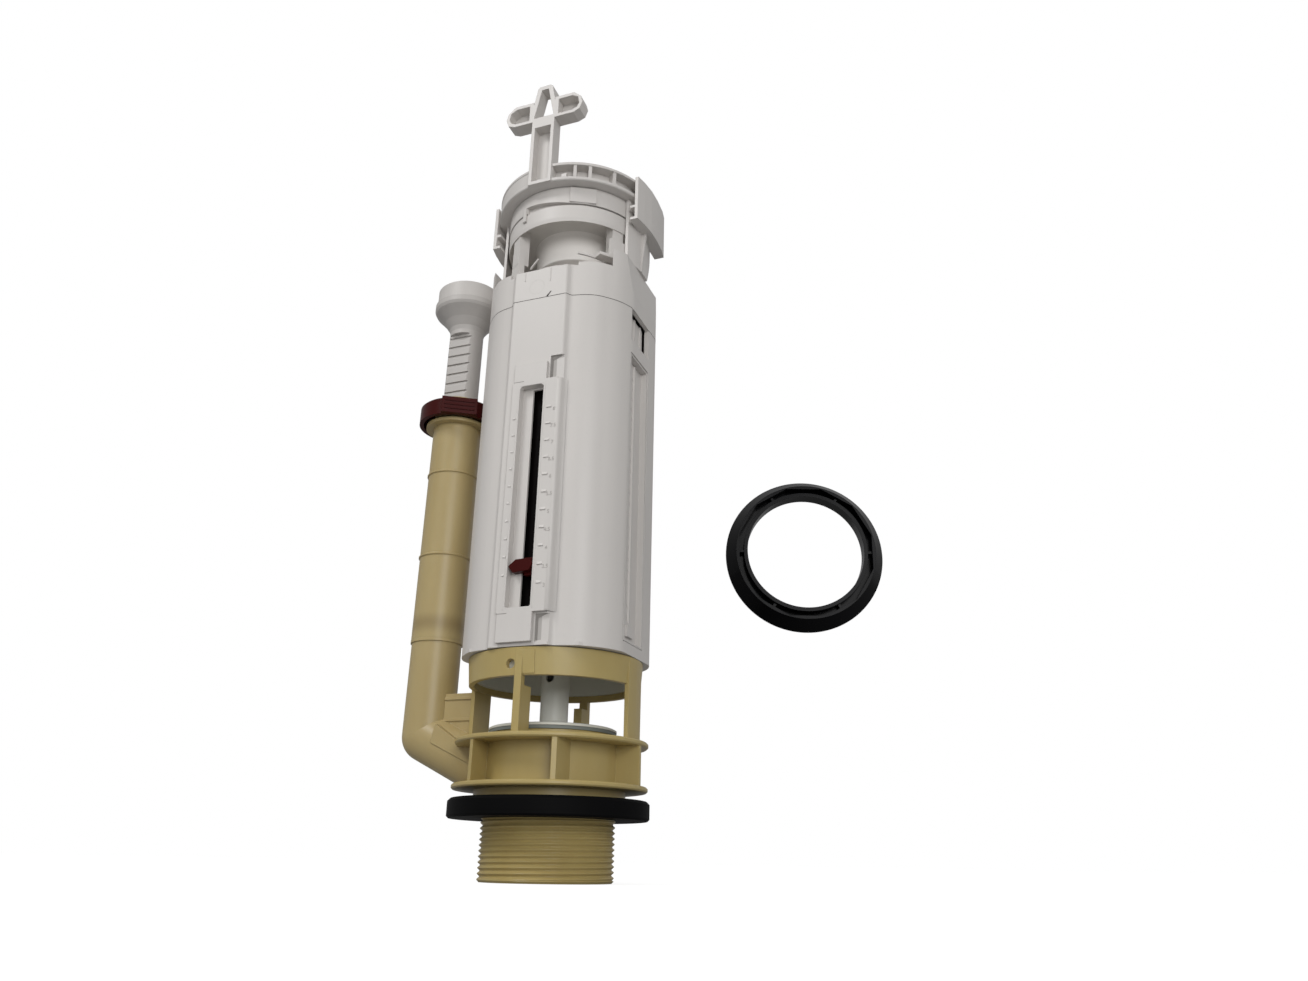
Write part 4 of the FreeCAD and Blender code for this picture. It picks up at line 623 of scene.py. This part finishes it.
def seam_line():
    """Thin shadow line along the top outline of the casing."""
    mesh = nodes["casing_shell"].data
    vertices = []
    faces = []
    for face in mesh.polygons:
        middle = face.center / MM
        if abs(face.normal.z) > 0.3 or middle.z < SEAM - CASING_DEPTH:
            continue
        if face.normal.x * middle.x + face.normal.y * middle.y < OUTER_REACH:
            continue
        points = [mesh.vertices[index].co / MM for index in face.vertices]
        high = [point for point in points if abs(point.z - SEAM) < 0.02]
        if len(high) != 2:
            continue
        start = len(vertices)
        out = Vector((face.normal.x, face.normal.y, 0.0)).normalized() * SEAM_LIFT
        for point, z in ((high[0], SEAM - SEAM_BELOW), (high[1], SEAM - SEAM_BELOW),
                         (high[1], SEAM + SEAM_ABOVE), (high[0], SEAM + SEAM_ABOVE)):
            vertices.append((point.x + out.x, point.y + out.y, z))
        faces.append((start, start + 1, start + 2, start + 3))
    piece("cap_seam_line", vertices, faces, seam_dark, "base")


seam_line()


# Front scale

PANEL_Y = -42.5
PANEL_LEFT_SHIFT = 1.7
SLIT_SHIFT = 1.4
SCALE_PITCH = 8.6
RIGHT_TICK_TOP = 183.1
LEFT_TICK_TOP = 179.1
LEFT_TICK_LOW = 95
FIGURE_TOP = 182.0
FIGURE_X = 12.5
EDGE_LINE_SPAN = (86.0, 196.0)
VALUES = ["8", "7.5", "7", "6.5", "6", "5.5", "5", "4.5", "4", "3.5", "3"]
FACE_FRONT = Matrix.Rotation(math.radians(90), 4, "X")
FAIRING_PROFILE = [
    (13.3, -42.52), (14.0, -42.46), (14.6, -42.2), (15.05, -41.7), (15.35, -41.0),
    (15.6, -40.2), (15.9, -39.4), (16.3, -38.75), (16.8, -38.35),
]
FAIRING_LEVELS = [84.7, 85.6, 120.0, 160.0, 197.9, 198.8]
FAIRING_SINK = 0.6
CLIP_FLOOR_Y = -39.7
SLOT_HALF = 6.3
SLOT_LOW = 87.0
SLOT_TOP = 196.5
SLOT_FILL_DEPTHS = (0.01, 2.4)
CORNER_STEPS = 6


def on_panel(x, z, lift):
    """Point on the face of the scale panel, lifted towards -Y."""
    return (x, PANEL_Y - lift, z)


def shaped_panel():
    """Copy of the scale panel with its left edge and its slit where the photo shows them."""
    item = copied("scale_panel", "scale_panel_shaped", white)
    for vertex in item.data.vertices:
        x = vertex.co.x / MM
        if x < -11.0:
            vertex.co.x += PANEL_LEFT_SHIFT * MM
        elif 0.0 < x < 1.0:
            vertex.co.x -= SLIT_SHIFT * MM
    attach(item, "base")
    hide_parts("scale_panel")


def wedge(x0, x1, z, rise, drop):
    """Low mark on the panel with a flat underside and a slope running down behind it."""
    points = [on_panel(x0, z, 0.0), on_panel(x1, z, 0.0), on_panel(x1, z, rise),
              on_panel(x0, z, rise), on_panel(x0, z + drop, 0.0), on_panel(x1, z + drop, 0.0)]
    return points, [(0, 1, 2, 3), (3, 2, 5, 4), (0, 3, 4), (1, 5, 2)]


def front_scale():
    """Ticks, edge lines and figures beside the slot."""
    marks = []
    for index, text in enumerate(VALUES):
        down = SCALE_PITCH * index
        marks.append(wedge(8.4, 11.0, RIGHT_TICK_TOP - down, 0.42, 1.3))
        if LEFT_TICK_TOP - down > LEFT_TICK_LOW:
            marks.append(wedge(-9.0, -7.6, LEFT_TICK_TOP - down, 0.3, 1.0))
        figure("front_scale_figure_%02d" % index, text, 2.5, 0.3,
               (FIGURE_X, PANEL_Y, FIGURE_TOP - down), FACE_FRONT)
    marks.append(raised_box(7.0, 7.5, *EDGE_LINE_SPAN, 0.15, on_panel))
    marks.append(raised_box(-7.4, -6.7, *EDGE_LINE_SPAN, 0.12, on_panel))
    gather("front_scale_marks", marks, white, "base")


def fairing():
    """Rounded run from the panel's right edge down into the hollow beside it."""
    vertices = []
    for z in FAIRING_LEVELS:
        sink = FAIRING_SINK if z in (FAIRING_LEVELS[0], FAIRING_LEVELS[-1]) else 0.0
        vertices += [(x, y + sink, z) for x, y in FAIRING_PROFILE]
    faces = grid_faces(len(FAIRING_LEVELS), len(FAIRING_PROFILE), closed=False)
    piece("panel_fairing", vertices, faces, white, "base", True)


def pocket(name, x0, x1, z0, z1):
    """Sloped wall and roof of the pocket beside a clip, in painted shadow, and a strip of painted
    shade on its floor.
    """
    y_face = CLIP_FLOOR_Y
    top = z1 - 0.3
    wall = prism([(x0, y_face - 0.9), (x0 + 0.5, y_face), (x0, y_face)], z0, top)
    roof = [(x0 + 0.1, y_face - 0.85, top + 0.2), (x1 - 0.6, y_face - 0.15, top + 0.1),
            (x0 + 0.5, y_face - 0.05, top - 2.0), (x0 + 0.1, y_face, top + 0.2)]
    gather(name, [wall, (roof, [(0, 1, 2), (1, 3, 2), (3, 0, 2), (0, 3, 1)])], painted_shadow_white,
           "base")
    strip = prism([(x0 + 0.5, y_face - 0.06), (x0 + 2.2, y_face - 0.02), (x0 + 2.2, y_face),
                   (x0 + 0.5, y_face)], z0, top - 1.4)
    gather(name + "_floor", [strip], painted_shade_white, "base")


def slot_corner(x, z, across, down, radius):
    """Rounded fill in one corner of the slot."""
    ring = [(x, z)]
    for step in range(CORNER_STEPS + 1):
        angle = math.pi / 2 * step / CORNER_STEPS
        ring.append((x + across * radius * (1.0 - math.sin(angle)),
                     z + down * radius * (1.0 - math.cos(angle))))
    count = len(ring)
    points = [(a, PANEL_Y + depth, b) for depth in SLOT_FILL_DEPTHS for a, b in ring]
    sides = []
    for step in range(1, count - 1):
        sides.append((0, step, step + 1))
        sides.append((step, step + 1, count + step + 1, count + step))
    return points, sides


shaped_panel()
front_scale()
fairing()
pocket("clip_pocket_top", 9.05, 15.0, 198.9, 211.6)
pocket("clip_pocket_low", 9.05, 14.9, 72.3, 84.2)
gather("slot_corner_fills", [slot_corner(-SLOT_HALF, SLOT_TOP, 1, -1, 2.2),
                             slot_corner(SLOT_HALF, SLOT_TOP, -1, -1, 2.0),
                             slot_corner(-SLOT_HALF, SLOT_LOW, 1, 1, 1.3),
                             slot_corner(SLOT_HALF, SLOT_LOW, -1, 1, 1.0)],
       white, "base")
# Dark lines at the panel's top and bottom joints: painted shade.
gather("panel_joint_lines", [raised_box(-9.9, -4.5, 198.9, 199.2, 0.10, on_panel),
                             raised_box(-9.9, -5.0, 84.3, 84.6, 0.10, on_panel)],
       painted_shadow_white, "base")


# Side recess

SIDE_FLOOR = 37.4
SIDE_EDGE_SPAN = (78.0, 219.0)
SIDE_TICKS = 24
SIDE_TICK_TOP = 211.0
SIDE_TICK_PITCH = 5.6
SIDE_FIGURE_TOP = 205.0
SIDE_FIGURE_PITCH = 11.2
SIDE_FIGURE_Y = -11.0
FACE_RIGHT = Matrix.Rotation(math.radians(90), 4, "Z") @ FACE_FRONT


def on_side(y, z, lift):
    """Point on the floor of the side recess, lifted towards +X."""
    return (SIDE_FLOOR + lift, y, z)


def side_scale():
    """Edge strips, ticks and figures in the side recess."""
    strips = [raised_box(-16.4, -15.7, *SIDE_EDGE_SPAN, 0.5, on_side),
              raised_box(-5.6, -4.6, *SIDE_EDGE_SPAN, 0.9, on_side)]
    for index in range(SIDE_TICKS):
        z = SIDE_TICK_TOP - SIDE_TICK_PITCH * index
        strips.append(raised_box(-7.4, -5.8, z - 0.2, z + 0.2, 0.25, on_side))
    gather("side_scale_strips", strips, white, "base")
    for index, text in enumerate(VALUES):
        z = SIDE_FIGURE_TOP - SIDE_FIGURE_PITCH * index
        figure("side_scale_figure_%02d" % index, text, 4.2, 0.8, (SIDE_FLOOR, SIDE_FIGURE_Y, z),
               FACE_RIGHT)


side_scale()


# Cap marks

CAP_Y = -41.0
CIRCLE_COLUMNS = 40


def on_cap(x, z, lift):
    """Point on the front of the cap, lifted towards -Y."""
    return (x, CAP_Y - lift, z)


def ring_mark(name, x, z, radius, width, material):
    """Faint circle left by an ejector pin on the cap's front."""
    vertices = []
    for index in range(CIRCLE_COLUMNS):
        angle = 2 * math.pi * index / CIRCLE_COLUMNS
        for reach, lift in ((radius - width, 0.0), (radius, 0.06), (radius + width, 0.0)):
            vertices.append(on_cap(x + reach * math.cos(angle), z + reach * math.sin(angle), lift))
    faces = grid_faces(CIRCLE_COLUMNS, 3, closed=False, looped=True)
    piece(name, vertices, faces, material, "base")


ring_mark("cap_pin_circle", -1.8, 252.9, 4.1, 0.22, white)
gather("cap_raised_strips", [raised_box(-9.0, -8.3, 257.3, 262.6, 0.25, on_cap),
                             raised_box(5.2, 5.9, 255.0, 262.8, 0.25, on_cap)],
       white, "base")
# Dark sheet in a small notch at the seam: painted shade.
piece("cap_seam_notch", [(3.9, -41.05, 246.2), (4.7, -41.05, 246.2), (6.6, -41.05, 248.9),
                         (5.9, -41.05, 248.9), (4.3, -41.2, 246.9), (6.1, -41.2, 248.5)],
      [(0, 1, 4), (1, 2, 5, 4), (2, 3, 5), (3, 0, 4, 5)], seam_dark, "base")


# Stage, lights and camera

FLOOR_REACH = 6.0
FLOOR_GAP = 0.0002
FLOOR_GLOW = 0.84
SKY_LEVEL = 0.40
LAMP_AIM = (0.0, 0.0, 0.16)
PHOTO_LENS = 26.42
PHOTO_RIGHT = (0.9394, 0.3424, 0.0149)
PHOTO_UP = (0.111, -0.3451, 0.932)
PHOTO_EYE = (0.1992, -0.40842, -0.01728)


def shown_apart(graph, lit, shown):
    """Lights with one shader, and shows another to the camera and through clear parts."""
    path = graph.add("ShaderNodeLightPath")
    direct = maths(graph, "MAXIMUM", path.outputs["Is Camera Ray"],
                   path.outputs["Is Transmission Ray"])
    pick = graph.add("ShaderNodeMixShader")
    graph.join(direct, pick.inputs["Fac"])
    graph.join(lit, pick.inputs[1])
    graph.join(shown, pick.inputs[2])
    graph.join(pick.outputs["Shader"], graph.output.inputs["Surface"])


def backdrop():
    """Plain pale floor; it stays white to the camera and keeps the shadow."""
    material, graph = new_material("pale_floor")
    diffuse = graph.add("ShaderNodeBsdfDiffuse")
    diffuse.inputs["Color"].default_value = grey(0.42)
    glow = graph.add("ShaderNodeEmission")
    glow.inputs["Color"].default_value = grey(1.0)
    glow.inputs["Strength"].default_value = FLOOR_GLOW
    both = graph.add("ShaderNodeAddShader")
    graph.join(diffuse.outputs["BSDF"], both.inputs[0])
    graph.join(glow.outputs["Emission"], both.inputs[1])
    shown_apart(graph, diffuse.outputs["BSDF"], both.outputs["Shader"])
    mesh = bpy.data.meshes.new("floor")
    z = cad_low.z - FLOOR_GAP
    reach = FLOOR_REACH
    mesh.from_pydata([(-reach, -reach, z), (reach, -reach, z), (reach, reach, z),
                      (-reach, reach, z)], [], [(0, 1, 2, 3)])
    item = linked("floor", mesh)
    dress(item, material)


def sky(level):
    """Even surrounding light, white to the camera."""
    world = bpy.data.worlds.new("soft_surround")
    bpy.context.scene.world = world
    world.use_nodes = True
    graph = Graph(world.node_tree, "ShaderNodeOutputWorld")
    sources = []
    for strength in (level, 1.0):
        source = graph.add("ShaderNodeBackground")
        source.inputs["Color"].default_value = grey(1.0)
        source.inputs["Strength"].default_value = strength
        sources.append(source.outputs["Background"])
    shown_apart(graph, *sources)


def lamp(name, spot, size, power):
    """Soft square lamp that faces the valve."""
    data = bpy.data.lights.new(name, "AREA")
    data.shape = "RECTANGLE"
    data.size = size
    data.size_y = size
    data.energy = power
    item = linked(name, data)
    item.location = spot
    way = Vector(LAMP_AIM) - Vector(spot)
    item.rotation_mode = "QUATERNION"
    item.rotation_quaternion = way.to_track_quat("-Z", "Y")


def photo_camera():
    """Camera at the photo's place."""
    camera = bpy.data.cameras.new("photo_view")
    camera.sensor_fit = "HORIZONTAL"
    camera.sensor_width = 36.0
    camera.lens = PHOTO_LENS
    camera.clip_start = 0.01
    camera.clip_end = 50.0
    eye = linked("photo_view", camera)
    right = Vector(PHOTO_RIGHT).normalized()
    up = Vector(PHOTO_UP)
    up = (up - right * up.dot(right)).normalized()
    back = right.cross(up)
    facing = Matrix((right, up, back)).transposed().to_4x4()
    eye.matrix_world = Matrix.Translation(Vector(PHOTO_EYE)) @ facing
    bpy.context.scene.camera = eye


backdrop()
sky(SKY_LEVEL)
lamp("key_lamp", (-0.85, -1.78, 1.95), 0.8, 24.0)
lamp("fill_lamp", (1.30, -1.90, 0.55), 1.0, 19.0)
photo_camera()
bpy.context.scene.view_settings.view_transform = "Standard"
